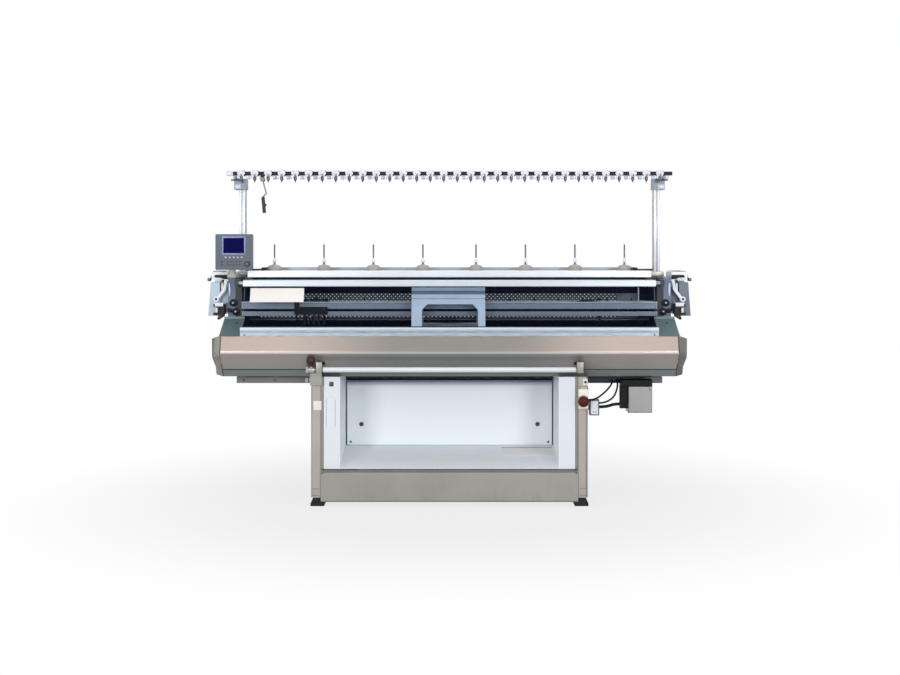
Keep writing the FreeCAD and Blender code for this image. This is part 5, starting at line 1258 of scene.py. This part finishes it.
@dataclass
class Window(Assembly):
    """The safety cover's bare plate, seals, end trims and screws."""

    low: Flat = (-0.3420, 0.9877)
    high: Flat = (-0.2350, 1.2100)
    half: float = 1.1400
    body: str = "safety_cover"

    def on_pane(self, height: float, off: float = 0.0) -> Flat:
        """Finds a point on the slanted pane's front.

        Args:
            height: the height on the pane.
            off: how far the point stands off its face.

        Returns:
            The point's Y and Z.
        """
        run, rise = self.high[0] - self.low[0], self.high[1] - self.low[1]
        length = math.hypot(run, rise)
        y = self.low[0] + (height - self.low[1]) / rise * run
        return (y - off * rise / length, height + off * run / length)

    def patch(self, name: str, x0: float, x1: float, z0: float, z1: float, thick: float) -> Piece:
        """Cuts a thin plate that lies on the slanted pane."""
        outline = [self.on_pane(z0), self.on_pane(z1), self.on_pane(z1, thick), self.on_pane(z0, thick)]
        return Piece.sheet(name, outline, x0, x1, Axis.X, thick * 0.4)

    def build(self) -> None:
        """Fits the plate, the seals, the rails' ends and the screws."""
        half, seal_low, seal_high = self.half, 0.9925, 1.2040
        plate = self.patch("window_plate", -1.106, -0.808, 1.1235, 1.200, 0.0012)
        self.fit(plate, "cream_label", self.body)
        seal = self.patch("window_seal_low", -half, half, 0.9880, seal_low, 0.0030)
        seal.join(self.patch("seal_high", -half, half, seal_high, 1.2090, 0.0030))
        self.fit(seal, "black_plastic", self.body)
        edge = self.patch("window_edges", half - 0.0028, half, seal_low, seal_high, 0.0020)
        self.fit(edge.both(), "spindle_dark", self.body)
        self.screws("rail_screws", [(x, -0.3622, 0.9475) for x in (-1.124, 1.124)], 0.0042, body=self.body)
        self.blocks(
            "white_plastic",
            ("rail_ends", (1.1455, -0.3585, 0.9425), (1.1483, -0.3255, 0.9845), 0.001),
            ("upper_end", (1.1455, -0.2415, 1.2130), (1.1483, -0.2085, 1.2420), 0.001),
            both=True, body=self.body,
        )


@dataclass
class KnittingBay(Assembly):
    """What shows behind the window: bands on the screen, rail fairings, clips and the light strip."""

    screen: float = 0.2403
    half: float = 1.174
    blank: float = 1.113
    low: float = 1.012
    clips: int = 16
    clip_pitch: float = 0.140
    clip_start: float = -1.050

    def build(self) -> None:
        """Fits the pieces behind the window."""
        y, half, blank, low = self.screen, self.half, self.blank, self.low
        self.plates(
            "navy_band",
            ("screen_band", (-half, 0.2350, 1.1560), (half, y, 1.2560)),
            ("screen_blank_left", (-half, 0.2370, low), (-blank, y, 1.1562)),
            ("screen_blank_right", (blank, 0.2370, low), (half, y, 1.1562)),
            ("screen_stripe", (-blank, 0.2380, 1.0460), (blank, y, 1.0650)),
            ("rail_shade", (-1.146, -0.0020, 1.2100), (1.146, -0.0004, 1.2568)),
        )
        self.plates("plain_sheet", ("screen_plate", (0.988, 0.2380, low), (1.1128, y, 1.1558)))
        self.blocks(
            "guide_grey",
            ("light_strip", (1.066, -0.112, 1.1190), (1.072, -0.090, 1.2000), 0.001),
            ("strip_foot", (1.058, -0.107, 1.1185), (1.080, -0.093, 1.1220), 0.001, 1),
            slot="white_paint",
        )
        line = profile(-58, 1119, -52, 1124, -20, 1130, 20, 1130, 52, 1124, 58, 1119)
        fairing = Piece.sheet("rail_fairings", line, -0.1065, -0.0935, Axis.Y, 0.001)
        self.fit(fairing.spread([(-0.742, 0, 0), (0.780, 0, 0)]), "black_plastic")
        clip = Piece.block("yarn_clips", (-0.006, 0.0545, 1.119), (0.006, 0.0655, 1.127), 0.0012)
        clip.join(Piece.drum("eye", (0.0, 0.060, 1.130), 0.0042, 0.004, Axis.Y, 12, 0.001, 1))
        self.fit(clip.spread(row(self.clip_start, self.clip_pitch, self.clips)), "black_plastic")


@dataclass
class ControlPanel(Assembly):
    """The panel's bezel, keys and dial face."""

    front: float = -0.175
    screen: tuple[float, float, float, float] = (-1.2680, -1.1520, 1.3940, 1.4790)
    bezel: tuple[float, float, float, float] = (-1.2760, -1.1440, 1.3840, 1.4900)
    bezel_depth: float = 0.0022
    middle: float = -1.210
    key: Flat = (0.0098, 0.0068)
    dial: Point = (-1.1350, -0.1890, 1.3340)
    body: str = "control_panel"

    def surround(self) -> None:
        """Models the bezel as a sheet with the screen's opening."""
        x0, x1, z0, z1 = self.bezel
        a0, a1, b0, b1 = self.screen
        y0, y1 = self.front - self.bezel_depth, self.front
        bezel = Piece.block("panel_bezel", (x0, y0, z0), (x1, y1, b0))
        bezel.join(
            Piece.block("bar_top", (x0, y0, b1), (x1, y1, z1)),
            Piece.block("bar_left", (x0, y0, b0), (a0, y1, b1)),
            Piece.block("bar_right", (a1, y0, b0), (x1, y1, b1)),
        )
        self.fit(bezel.modify("WELD", merge_threshold=0.0001).bevel(0.0008), "bezel_grey", self.body)

    def keys(self, name: str, places: Sequence[tuple[float, float, Flat]], finish: str) -> None:
        """Models key caps with dished faces, and joins them.

        Args:
            name: the pieces' name.
            places: X of each key's middle, Z of its foot, and its width and height.
            finish: the name of their finish.
        """
        keys = []
        y0, y1 = self.front - 0.0018, self.front - 0.0001
        for x, z, (wide, high) in places:
            key = Piece.block(f"key_{len(keys)}" if keys else name, (x - wide / 2, y0, z),
                              (x + wide / 2, y1, z + high))
            key.pick(lambda middle, normal: normal.y < -FACING).inset(0.0012, -0.0004).bevel(0.0004, 1)
            keys.append(key)
        self.fit(keys[0].join(*keys[1:]), finish, self.body)

    def dial_ticks(self) -> None:
        """Models the ticks round the dial."""
        x, _, z = self.dial
        turns = [math.radians(angle) for angle in range(-150, 151, 30)]
        about, back = Matrix.Translation((x, 0, z)), Matrix.Translation((-x, 0, -z))
        first = Piece.block("dial_ticks_0", (x - 0.0004, self.front - 0.0010, z + 0.0185),
                            (x + 0.0004, self.front, z + 0.0210))
        moves = [about @ Matrix.Rotation(turn, 4, "Y") @ back for turn in turns]
        ticks = [first.copy(f"tick_{i}", move) for i, move in enumerate(moves[1:])]
        first.obj.data.transform(moves[0])
        self.fit(first.join(*ticks).bevel(0.0002, 1), "key_pale", self.body, angle=0)

    def build(self) -> None:
        """Makes the bezel, the keys, the dial's face with its ticks and the panel's hinge."""
        self.surround()
        five = range(-2, 3)
        self.keys("soft_keys_0", [(self.middle + i * 0.0225, 1.3676, self.key) for i in five], "key_pale")
        places = [(self.middle + i * 0.016875, z, self.key) for z in (1.3426, 1.3256) for i in five]
        places += [(-1.2760, z, (0.013, 0.008)) for z in (1.3420, 1.3250)]
        self.keys("row_keys_1.3426_0", places, "key_dark")
        x, y, z = self.dial
        face = profile(0, -0.8, 6.6, -0.8, 7, 1.2, 6, 2, 2.2, 1.4, 0, 1.4)
        self.fit(Piece.turned("dial_face", (x, y + 0.0008, z), face, Axis.FRONT), "grip_grey", "panel_dial")
        self.dial_ticks()
        hinge = ("panel_hinge", (-1.2300, -0.1640, 1.2770), (-1.2140, -0.1360, 1.2998), 0.002)
        self.blocks("black_plastic", hinge)


@dataclass
class OperationBar(Assembly):
    """The white bar across the front and its knob."""

    y: float = -0.378
    z: float = 0.758
    half: float = 0.693
    radius: float = 0.014
    shaft_start: float = -0.784
    shaft_long: float = 1.499
    knob: Point = (-0.756, -0.396, 0.808)
    knob_radius: float = 0.0247
    round_angle: float = 50.0
    body: str = "operation_bar"

    def build(self) -> None:
        """Turns the bar, its shaft, the clamp, and the stem and ball that lean on the shaft."""
        reach, r = 2 * self.half, self.radius
        line = [(0, 0), (r - 0.003, 0), (r, 0.003), (r, 0.030), (r - 0.0012, 0.031), (r - 0.0012, 0.034),
                (r, 0.035)]
        line += [(radius, reach - height) for radius, height in reversed(line)]
        bar = Piece.turned("round_bar", (-self.half, self.y, self.z), line, Axis.X, 40)
        self.fit(bar, "white_plastic", self.body, replaces="operation_bar", angle=self.round_angle)
        end = self.shaft_long
        line = [(0, 0), (0.007, 0), (0.008, 0.001), (0.008, end - 0.001), (0.007, end), (0, end)]
        shaft = Piece.turned("bar_shaft", (self.shaft_start, self.y, self.z), line, Axis.X, 28)
        line = profile(0, 0, 12, 0, 14.5, 2, 14.5, 20, 13.5, 21,
                       13.5, 24, 14.5, 25, 14.5, 46, 12, 48, 0, 48)
        clamp = Piece.turned("knob_clamp", (self.shaft_start + 0.001, self.y, self.z), line, Axis.X, 28)
        r = self.knob_radius
        line = [(0, -0.030), (0.0085, -0.030), (0.0095, -0.028), (0.0105, -r * 0.9)]
        line += arc((0, 0), r, [math.radians(a) for a in range(-62, 91, 8)]) + [(0, r)]
        ball = Piece.turned("knob_ball", (0, 0, 0), line, sides=40)
        line = profile(0, -50, 6.2, -50, 6.2, -26, 0, -26)
        stem = Piece.turned("knob_stem", (0, 0, 0), line, sides=24)
        rise = Vector(self.knob) - Vector((self.knob[0], self.y, self.z))
        lean = rise.to_track_quat("Z", "X").to_matrix().to_4x4()
        for piece in (ball, stem):
            piece.obj.data.transform(Matrix.Translation(self.knob) @ lean)
        for piece, finish in ((shaft, "steel"), (clamp, "beige_metallic"), (stem, "steel"),
                              (ball, "maroon_plastic")):
            self.fit(piece, finish, self.body, angle=self.round_angle)


@dataclass
class Switches(Assembly):
    """The stop button, its plate and the socket's face."""

    stop: Point = (0.735, -0.345, 0.581)
    arc_radii: Flat = (0.0335, 0.0312)
    socket: Point = (0.800, -0.3092, 0.552)

    def build(self) -> None:
        """Makes the switch pieces."""
        line = profile(0, -20.5, 10, -20.5, 10, 7, 26, 7, 30, 8.5, 30, 12.5, 29.2, 15.5, 26.2, 19.5, 20.5,
                       23, 15, 25.6, 8, 26.8, 0, 27)
        button = Piece.turned("stop_head", self.stop, line, Axis.FRONT, 48)
        self.fit(button, "red_plastic", "stop_button", replaces="stop_button", angle=50)
        x, y, z = self.stop
        self.plates("cream_label", ("stop_plate", (x - 0.0265, y - 0.0006, z - 0.038),
                                    (x + 0.0265, y, z + 0.066)))
        self.plates("bare_label", ("stop_band", (x - 0.0255, y - 0.0009, z + 0.052),
                                   (x + 0.0255, y, z + 0.064)))
        angles = [math.radians(a) for a in range(38, 143, 8)]
        outer, inner = self.arc_radii
        outline = arc((x, z), outer, angles) + arc((x, z), inner, reversed(angles))
        self.fit(Piece.sheet("stop_arc", outline, y - 0.0012, y, Axis.Y, 0.0003, 1), "red_plastic")
        self.screws("box_screws", [(x + side * 0.022, y, z + 0.0725) for side in (-1, 1)], 0.003)
        x, y, z = self.socket
        low, high = (x - 0.0215, -0.3085, 0.5045), (x + 0.0215, -0.3068, 0.5815)
        face = Piece.block("socket_face", low, high, 0.0008)
        face.pick(lambda middle, normal: normal.y < -FACING and abs(middle.x - x) < 0.01)
        face.inset(0.006, -0.0006)
        face.join(Piece.drum("cover", self.socket, 0.0150, 0.0030, Axis.Y, 32, 0.0008))
        self.fit(face, "white_plastic")
        self.screws("socket_screws", [(x + side * 0.0065, y, 0.520) for side in (-1, 1)], 0.0025)


@dataclass
class Ends(Assembly):
    """Small parts on both ends: yarn brakes, crown strips, block tabs, arm pins and grips."""

    pivot: Point = (1.318, -0.1243, 1.134)
    brake_y: float = -0.1000

    def forms(self) -> None:
        """Models the crowns' strips and hoods, and the tension blocks' tabs and tips."""
        strip = ("crown_strips", (1.272, -0.058, 1.2898), (1.344, 0.140, 1.2918), 0.0007)
        self.blocks("maroon_plastic", strip, both=True)
        outline = profile(1262, 1247, 1262, 1268, 1270, 1270, 1330, 1270, 1336, 1262, 1336, 1256, 1300,
                          1254, 1290, 1247)
        self.fit(Piece.sheet("crown_hoods", outline, -0.0740, -0.0600, Axis.Y, 0.002).both(),
                 "black_plastic")
        self.blocks(
            "white_plastic",
            ("block_tabs", (1.272, -0.158, 1.1068), (1.322, -0.104, 1.1150), 0.002),
            ("tab_lip", (1.272, -0.1605, 1.0950), (1.318, -0.1585, 1.1150), 0.0008),
            ("inner_tab", (1.304, -0.156, 1.0588), (1.317, -0.106, 1.0860), 0.002),
            both=True,
        )
        line = profile(1266, 1045.5, 1300, 1045.5, 1308, 1025, 1300, 1018, 1268, 1038)
        self.fit(Piece.sheet("block_tips", line, -0.150, -0.118, Axis.Y, 0.002).both(), "maroon_plastic")

    def arms(self) -> None:
        """Models each arm's second prong and black pin, and the ribbed sleeve on each lever's grip."""
        line = profile(0, -5, 6.6, -5, 6.6, 0.4, 5, 1.2, 0, 1.2)
        pin = Piece.turned("arm_pin_right", self.pivot, line, Axis.FRONT, 24)
        self.pair(pin, "black_plastic", "side_arm_right")
        outline = profile(1276.5, 1185, 1287, 1174, 1290, 1188, 1288.5, 1224, 1281.5, 1226)
        prong = Piece.sheet("arm_prong_right", outline, -0.1160, -0.1084, Axis.Y, 0.001)
        self.pair(prong, "white_paint", "side_arm_right")
        line = profile(0, 0, 7.5, 0, 9.5, 1.5)
        for start in (0.0020, 0.0057, 0.0094):
            line += [(0.0098, start), (0.0098, start + 0.0024), (0.0090, start + 0.0028),
                     (0.0090, start + 0.0034)]
        line += profile(9.5, 13.2, 7.5, 14.4, 0, 14.4)
        grip = Piece.turned("lever_grip_right", (1.3605, -0.066, 1.2435), line, Axis.X, 28)
        self.pair(grip, "grip_grey", "lever_right")

    def brakes(self) -> None:
        """Turns the dark yarn brakes on each end frame, and their pale guide strip."""
        line = profile(0, 0, 6, 0, 6, 4, 20, 5, 21, 8, 19, 10, 8, 10, 8, 13, 20, 14, 20.5, 17, 18, 19, 6,
                       20.5, 0, 20.5)
        x, y, z = 1.2225, self.brake_y, 1.1130
        upper = Piece.turned("yarn_brakes", (x, y, z), line, Axis.FRONT)
        lower = Piece.turned("lower_brake", (1.2080, y, 1.0640), line, Axis.FRONT)
        small = Piece.turned("small_brake", (1.2420, y, 1.0700), [(r * 0.6, h) for r, h in line],
                             Axis.FRONT, 24)
        self.fit(upper.join(lower, small).both(), "black_plastic")
        pins = Piece.drum("brake_pins", (x, -0.1225, z), 0.0045, 0.006, Axis.Y, 16, 0.001)
        outline = profile(1240, 1150, 1248, 1150, 1250, 1190, 1250, 1225, 1241, 1225, 1238, 1190)
        strip = Piece.sheet("strip", outline, -0.1060, -0.0998, Axis.Y, 0.0012)
        pins.join(pins.moved("lower_pin", x=-0.0145, z=-0.049)).join(strip)
        self.fit(pins.both(), "clamp_inlay", slot="steel")

    def build(self) -> None:
        """Makes the ends' small parts."""
        self.brakes()
        self.forms()
        self.arms()


@dataclass
class Trim(Assembly):
    """Bare plates, screws, seams and small fixings on the stand, trays, corners and drive box, and a dark
    sheet that stands in for shade at the back of the recess.
    """

    pull_x: float = -0.6545
    pull_radius: float = 0.0255
    pull_ends: Flat = (0.5795, 0.4445)
    chute: tuple[Flat, Flat] = ((-0.305, 0.2070), (0.1394, 0.2720))
    bar_stop: Point = (0.690, -0.3448, 0.7912)
    cover_lean: Point = (0, -0.722, -0.692)

    def screw_sets(self) -> None:
        """Sets the screws of the corners, the door, the drive box, the trays and the pad."""
        self.screws("corner_screws", [(-1.186, -0.2290, 1.0040), (1.210, -0.2290, 1.0040)], 0.0055, Axis.Z)
        self.screws("door_screws", [(0.5760, 0.1364, 0.2930), (-0.5760, 0.1364, 0.2930)], 0.0060)
        self.screws("drive_box_screws", [(1.1070, -0.2900, 0.6400)], 0.0040)
        self.screws("tray_screws", [(-0.976, -0.2000, 0.6850), (-1.150, -0.2000, 0.6850)], 0.0050)
        self.screws("pad_screw", [(0.7500, -0.3120, 0.6840)], 0.0070)

    def seams(self) -> None:
        """Fits the dark seals under the cover, at its ends, at the beam's lip and by the door."""
        self.blocks(
            "black_plastic",
            ("cover_seam", (-1.2535, -0.3116, 0.7518), (1.2535, -0.3088, 0.7560), 0.0006, 1),
            ("sill", (-0.7060, -0.3185, 0.2005), (0.7060, -0.3093, 0.2046), 0.0006, 1),
        )
        outline = profile(-367, 938.8, -397.4, 858.5, -397.4, 852, -388, 839.1, -311, 754.4, -280.8, 713.2,
                          -278, 713.2, -308, 756, -385, 840.9, -394.5, 853, -394.5, 857.5, -364, 938.8)
        self.fit(Piece.sheet("cap_seams", outline, 1.2500, 1.2536).both(), "black_plastic")
        seal = ("door_seals", (0.5988, 0.1290, 0.2770), (0.6036, 0.1360, 0.6450), 0.0008, 1)
        self.blocks("black_plastic", seal, both=True)

    def pull_rim(self) -> None:
        """Models the thin steel rim of the long pull in the left column."""
        outline = []
        for end, turn in zip(self.pull_ends, (1, -1)):
            angles = (0, 0.52, 1.05, 1.57, 2.09, 2.62, math.pi)
            outline += arc((self.pull_x, end), turn * self.pull_radius, angles)
        self.fit(Piece.sheet("pull_rim", outline, -0.3062, -0.3048, Axis.Y, 0.0004, 1), "guide_grey")

    def bar_fixings(self) -> None:
        """Models the shrouds over the bar's bearings, the right column's pad and the bar's rubber stops."""
        outline = profile(-396, 741, -396, 801, -350, 801, -350, 772,
                          -389, 772, -389, 745, -352, 745, -352, 741)
        shroud = Piece.sheet("bearing_shrouds", outline, 0.6965, 0.7315, soft=0.002)
        shroud.join(Piece.sheet("shroud_left", outline, -0.7280, -0.6965, soft=0.002))
        self.fit(shroud, "hanger_paint")
        pad = ("column_pad", (0.7360, -0.3120, 0.6650), (0.7620, -0.3095, 0.7030), 0.001)
        self.blocks("white_plastic", pad)
        r = 0.0085
        line = [(0, -0.002), (r, -0.002), (r, 0.003), (r * 0.9, 0.006), (r * 0.65, 0.0082),
                (r * 0.3, 0.0092)]
        stops = Piece.turned("buffers", (0, 0, 0), line + [(0, 0.0094)], sides=24)
        lean = Vector(self.cover_lean).to_track_quat("Z", "X").to_matrix().to_4x4()
        stops.obj.data.transform(Matrix.Translation(self.bar_stop) @ lean)
        self.fit(stops.both(), "rubber", angle=50)

    def chute_piece(self, name: str, low: float, thick: float, soft: float, rounds: int,
                    finish: str) -> None:
        """Lays a flat piece on the sloping chute, by its right side.

        Args:
            name: the piece's name.
            low: Y of its lower edge.
            thick: how thick it is.
            soft, rounds: its rounded edges.
            finish: the name of its finish.
        """
        high = 0.095
        (y0, z0), (y1, z1) = self.chute
        edges = [(y, z0 + (y - y0) * (z1 - z0) / (y1 - y0)) for y in (low, high)]
        outline = edges + [(y, z + thick) for y, z in reversed(edges)]
        self.fit(Piece.sheet(name, outline, 0.300, 0.592, Axis.X, soft, rounds), finish)

    def build(self) -> None:
        """Fits the trim."""
        self.screw_sets()
        self.plates("cream_label", ("column_plate", (-0.7500, -0.3108, 0.5300), (-0.7060, -0.3100, 0.5800)))
        self.plates("key_dark", ("strip_mark", (-0.6630, -0.3058, 0.6600), (-0.6390, -0.3050, 0.6850)))
        # A dark sheet that stands in for the shade at the back of the recess, under the beam.
        self.plates("navy_band", ("recess_back", (-0.6930, 0.3000, 0.6503), (0.6930, 0.3030, 0.7127)))
        self.blocks(
            "key_pale",
            ("tray_clips", (-0.806, -0.2060, 0.6720), (-0.790, -0.1998, 0.6980), 0.0015),
            ("clip_b", (-0.786, -0.2060, 0.6780), (-0.776, -0.1998, 0.7000), 0.0015),
        )
        self.chute_piece("chute_plate", -0.075, 0.0012, 0.0005, 2, "bare_label")
        self.chute_piece("chute_plate_edge", 0.083, 0.0020, 0.0004, 1, "box_paint")
        line = Piece.block("column_lines", (0.7170, -0.3106, 0.0575), (0.7610, -0.3095, 0.0597))
        line.join(line.moved("upper_line", z=0.0375)).bevel(0.0004, 1)
        self.fit(line.both(), "spindle_dark")
        self.seams()
        self.pull_rim()
        self.bar_fixings()


@dataclass
class Rear(Assembly):
    """What the knitter doesn't see: the cabinet's vents and lid, and the rear cover's liner."""

    back: float = 0.3700
    low: float = 0.2620
    high: float = 0.6500
    half: float = 0.655
    edge: float = 0.022
    lid: float = 0.0016
    louvre_step: float = -0.0145
    bank_step: float = 0.075

    def vents(self) -> None:
        """Presses two rows of louvres in the cabinet's back."""
        y, x, z = self.back, 0.280, 0.5600
        louvre = Piece.block("louvres", (x - 0.030, y - 0.0010, z), (x + 0.030, y + 0.0035, z + 0.0060))
        louvre.pick(lambda middle, normal: normal.y > FACING).resize((0.94, 1, 0.35), (x, y, z))
        louvre.bevel(0.0008, 1)
        louvre.spread([(0, 0, i * self.louvre_step) for i in range(9)])
        louvre.spread([(i * self.bank_step, 0, 0) for i in range(4)])
        self.fit(louvre.both(), "spindle_dark", slot="blue_grey_metal")

    def build(self) -> None:
        """Makes the vents, the lid with its turned edge, latches and screws, and the dark felt liner."""
        self.vents()
        x, y = self.half, self.back
        lid = Piece.block("cabinet_lid", (-x, y - 0.0008, self.low + self.edge),
                          (x, y + self.lid, self.high - self.edge))
        lid.pick(lambda middle, normal: normal.y > FACING).inset(0.006, 0.0008)
        self.fit(lid.bevel(0.0006, 1), "blue_grey_metal")
        line = profile(0, 0, 15, 0, 15, 2, 12, 3.2, 12, 6, 10, 7, 0, 7)
        latch = Piece.turned("lid_latches", (0, y + self.lid, 0.330), line, Axis.Y, 28)
        slot = Piece.block("slot", (-0.009, y + 0.0080, 0.3285), (0.009, y + 0.0094, 0.3315), 0.0004, 1)
        latch.join(slot)
        self.fit(latch.spread([(0, 0, 0), (0.560, 0, 0), (-0.560, 0, 0)]), "lock_steel")
        places = [(side * 0.640, y + self.lid, z) for side in (-1, 1) for z in (0.300, 0.456, 0.612)]
        self.screws("lid_screws", places, 0.0050, Axis.Y)
        outline = profile(246.5, 995.2, 342.6, 956.4, 370, 927.6, 368.9, 926.5, 342, 954.9, 246, 993.8)
        felt = Piece.sheet("cover_liner", outline, -1.1900, 1.1900, Axis.X, 0.0004, 1)
        self.fit(felt, "navy_band", slot="rubber")


@dataclass
class Leads(Assembly):
    """Strain reliefs where the leads leave the boxes."""

    places: tuple[tuple[Point, float], ...] = (
        ((0.7633, -0.3275, 0.5860), 0.0070),
        ((0.8263, -0.2800, 0.5660), 0.0070),
        ((0.8263, -0.2670, 0.5430), 0.0115),
    )
    ribs: int = 3
    rib_step: float = 0.0034
    waist: float = 0.86

    def build(self) -> None:
        """Turns a tapered, ribbed relief at each exit."""
        reliefs = []
        for i, (place, radius) in enumerate(self.places):
            line = [(0, 0), (radius, 0), (radius, 0.002)]
            for rib in range(self.ribs):
                start, size = 0.0026 + rib * self.rib_step, radius * (0.92 - 0.08 * rib)
                thin = size * self.waist
                line += [(size, start), (size, start + 0.0018), (thin, start + 0.0022),
                         (thin, start + 0.0030)]
            line += [(radius * 0.70, 0.0135), (0, 0.0135)]
            reliefs.append(Piece.turned(f"strain_reliefs_{i}", place, line, Axis.X, 20))
        self.fit(reliefs[0].join(*reliefs[1:]), "black_plastic")


ASSEMBLIES = (YarnRail, ConeShelf, RearScreen, Window, KnittingBay, ControlPanel, OperationBar, Switches,
              Ends, Trim, Rear, Leads)


# ---------------------------------------------------------------- studio


@dataclass
class Studio:
    """The camera, the pale floor, the soft lamps and the white backdrop."""

    camera_place: Point = (0.0, -8.100, 1.440)
    lens: float = 56.52
    sensor: float = 36.0
    shift: Flat = (0.0006, -0.1028)
    sight: float = 100.0
    floor_colour: Colour = (172, 173, 178)
    floor_roughness: float = 0.85
    floor_radius: float = 30.0
    floor_fade: Flat = (0.9, 2.8)
    floor_white: float = 0.78
    world_level: float = 0.26

    def camera(self) -> None:
        """Stands the camera level in front of the machine."""
        data = bpy.data.cameras.new("camera")
        data.lens, data.sensor_width, data.clip_end = self.lens, self.sensor, self.sight
        data.shift_x, data.shift_y = self.shift
        camera = bpy.data.objects.new("camera", data)
        camera.location = self.camera_place
        camera.rotation_euler = (math.pi / 2, 0.0, 0.0)
        bpy.context.scene.collection.objects.link(camera)
        bpy.context.scene.camera = camera

    def lamp(self, name: str, place: Point, aim: float, size: Flat, watts: float) -> None:
        """Hangs one soft box and aims it at the machine's middle.

        Args:
            name: the lamp's name.
            place: where it hangs.
            aim: the height that it is aimed at.
            size: its width and height.
            watts: its power.
        """
        data = bpy.data.lights.new(name, "AREA")
        data.shape, data.size, data.size_y, data.energy = "RECTANGLE", *size, watts
        lamp = bpy.data.objects.new(name, data)
        lamp.location = place
        lamp.rotation_euler = (Vector((0.0, 0.0, aim)) - Vector(place)).to_track_quat("-Z", "Y").to_euler()
        bpy.context.scene.collection.objects.link(lamp)

    def backdrop(self, shader: Shader) -> Signal:
        """Finds the rays that see the backdrop: the camera's, and those in gloss and glass.

        Args:
            shader: the floor's or the room's.

        Returns:
            One for such a ray, and zero for any other.
        """
        seen = shader.add("ShaderNodeLightPath", {}, {}, "Is Camera Ray")
        seen = seen + seen.sibling("Is Glossy Ray") + seen.sibling("Is Transmission Ray")
        return shader.maths("MINIMUM", seen, 1.0)

    def world(self) -> None:
        """Lights the room evenly, and whitens what lies beyond the floor."""
        world = bpy.data.worlds.new("room")
        shader = Shader(world)
        bpy.context.scene.world = world
        sky = shader.tree.nodes["Background"]
        sky.inputs["Color"].default_value = WHITE
        strength = self.backdrop(shader) * (1 - self.world_level) + self.world_level
        shader.feed(sky.inputs["Strength"], strength)

    def floor(self) -> None:
        """Lays the pale floor, which takes the shadow near the machine and fades to white."""
        deselect()
        bpy.ops.mesh.primitive_circle_add(vertices=96, radius=self.floor_radius, fill_type="TRIFAN")
        piece = Piece("floor")
        material = bpy.data.materials.new("pale_floor")
        shader = Shader(material)
        shader.set(Base_Color=linear(*self.floor_colour), Roughness=self.floor_roughness)
        across, along, _ = shader.axes()
        reach = shader.maths("SQRT", across * across + along * along)
        white = shader.add("ShaderNodeEmission", {}, {"Color": WHITE, "Strength": 1.0})
        pale = reach.smooth(*self.floor_fade) * (1 - self.floor_white) + self.floor_white
        ground = Signal(shader, shader.surface.outputs[0])
        both = shader.add("ShaderNodeMixShader", {}, {0: self.backdrop(shader) * pale, 1: ground, 2: white})
        shader.feed(shader.tree.nodes["Material Output"].inputs["Surface"], both)
        piece.obj.data.materials.append(material)

    def build(self) -> None:
        """Sets up the whole studio."""
        bpy.context.scene.view_settings.view_transform = "Standard"
        self.camera()
        self.world()
        self.floor()
        self.lamp("lamp_top", (0.0, -1.6, 5.2), 0.8, (5.0, 3.0), 60.0)
        self.lamp("lamp_back", (0.0, 5.6, 4.8), 0.8, (5.0, 2.4), 95.0)
        self.lamp("lamp_front", (0.0, -6.5, 3.6), 0.8, (5.0, 2.2), 42.0)
        for side, name in ((-1, "left"), (1, "right")):
            self.lamp(f"lamp_low_{name}", (side * 3.2, -7.4, 1.9), 0.5, (1.8, 1.8), 160.0)
            self.lamp(f"lamp_{name}", (side * 5.0, -3.2, 2.6), 0.9, (2.4, 2.8), 22.0)
            self.lamp(f"lamp_side_{name}", (side * 6.0, 0.8, 2.6), 0.9, (2.4, 2.4), 48.0)


# ---------------------------------------------------------------- the whole machine

SPECIALS = {
    "end_caps": "cap_paint",
    "front_cover": "cover_paint",
    "stand_frame": "column_paint",
    "end_frames": "frame_paint",
    "needle_bed_front": "bed_steel",
    "needle_bed_rear": "bed_steel",
    "panel_dial": "key_dark",
    "mesh_panel": "dark_sheet",
    "feeder_rails": "feeder_silver",
    "cover_rails": "cover_silver",
    "top_rail": "top_silver",
    "kick_beam": "kick_paint",
    "recess_panels": "recess_white",
    "controller_door": "door_paint",
    "door_lock_left": "lock_steel",
    "door_lock_right": "lock_steel",
    "carriage_bow": "carriage_paint",
    "under_trays": "tray_paint",
    "drive_cover": "box_paint",
    "drive_motor": "motor_black",
    "switch_boxes": "switch_paint",
    "stop_arm": "arm_paint",
    "end_housings": "housing_paint",
    "cone_shelf": "shelf_paint",
    "bar_brackets": "hanger_paint",
    "panel_arm": "cone_base",
    "machine_cables": "cable_sheath",
} | {f"yarn_feeder_{number}": "motor_black" for number in range(1, 7)}


def main() -> None:
    """Builds the studio and then the machine, one sub-assembly after another."""
    logging.basicConfig(level=logging.INFO, format="%(name)s: %(message)s")
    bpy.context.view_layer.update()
    Studio().build()
    rack = Rack(FINISHES)
    for part in frame["record"]["subparts"]:
        rack.dress(part["node"], SPECIALS.get(part["node"], part["material_slot"]))
    for assembly in ASSEMBLIES:
        log.info("building %s", assembly.__name__)
        assembly(rack).build()


if __name__ == "__main__":
    main()
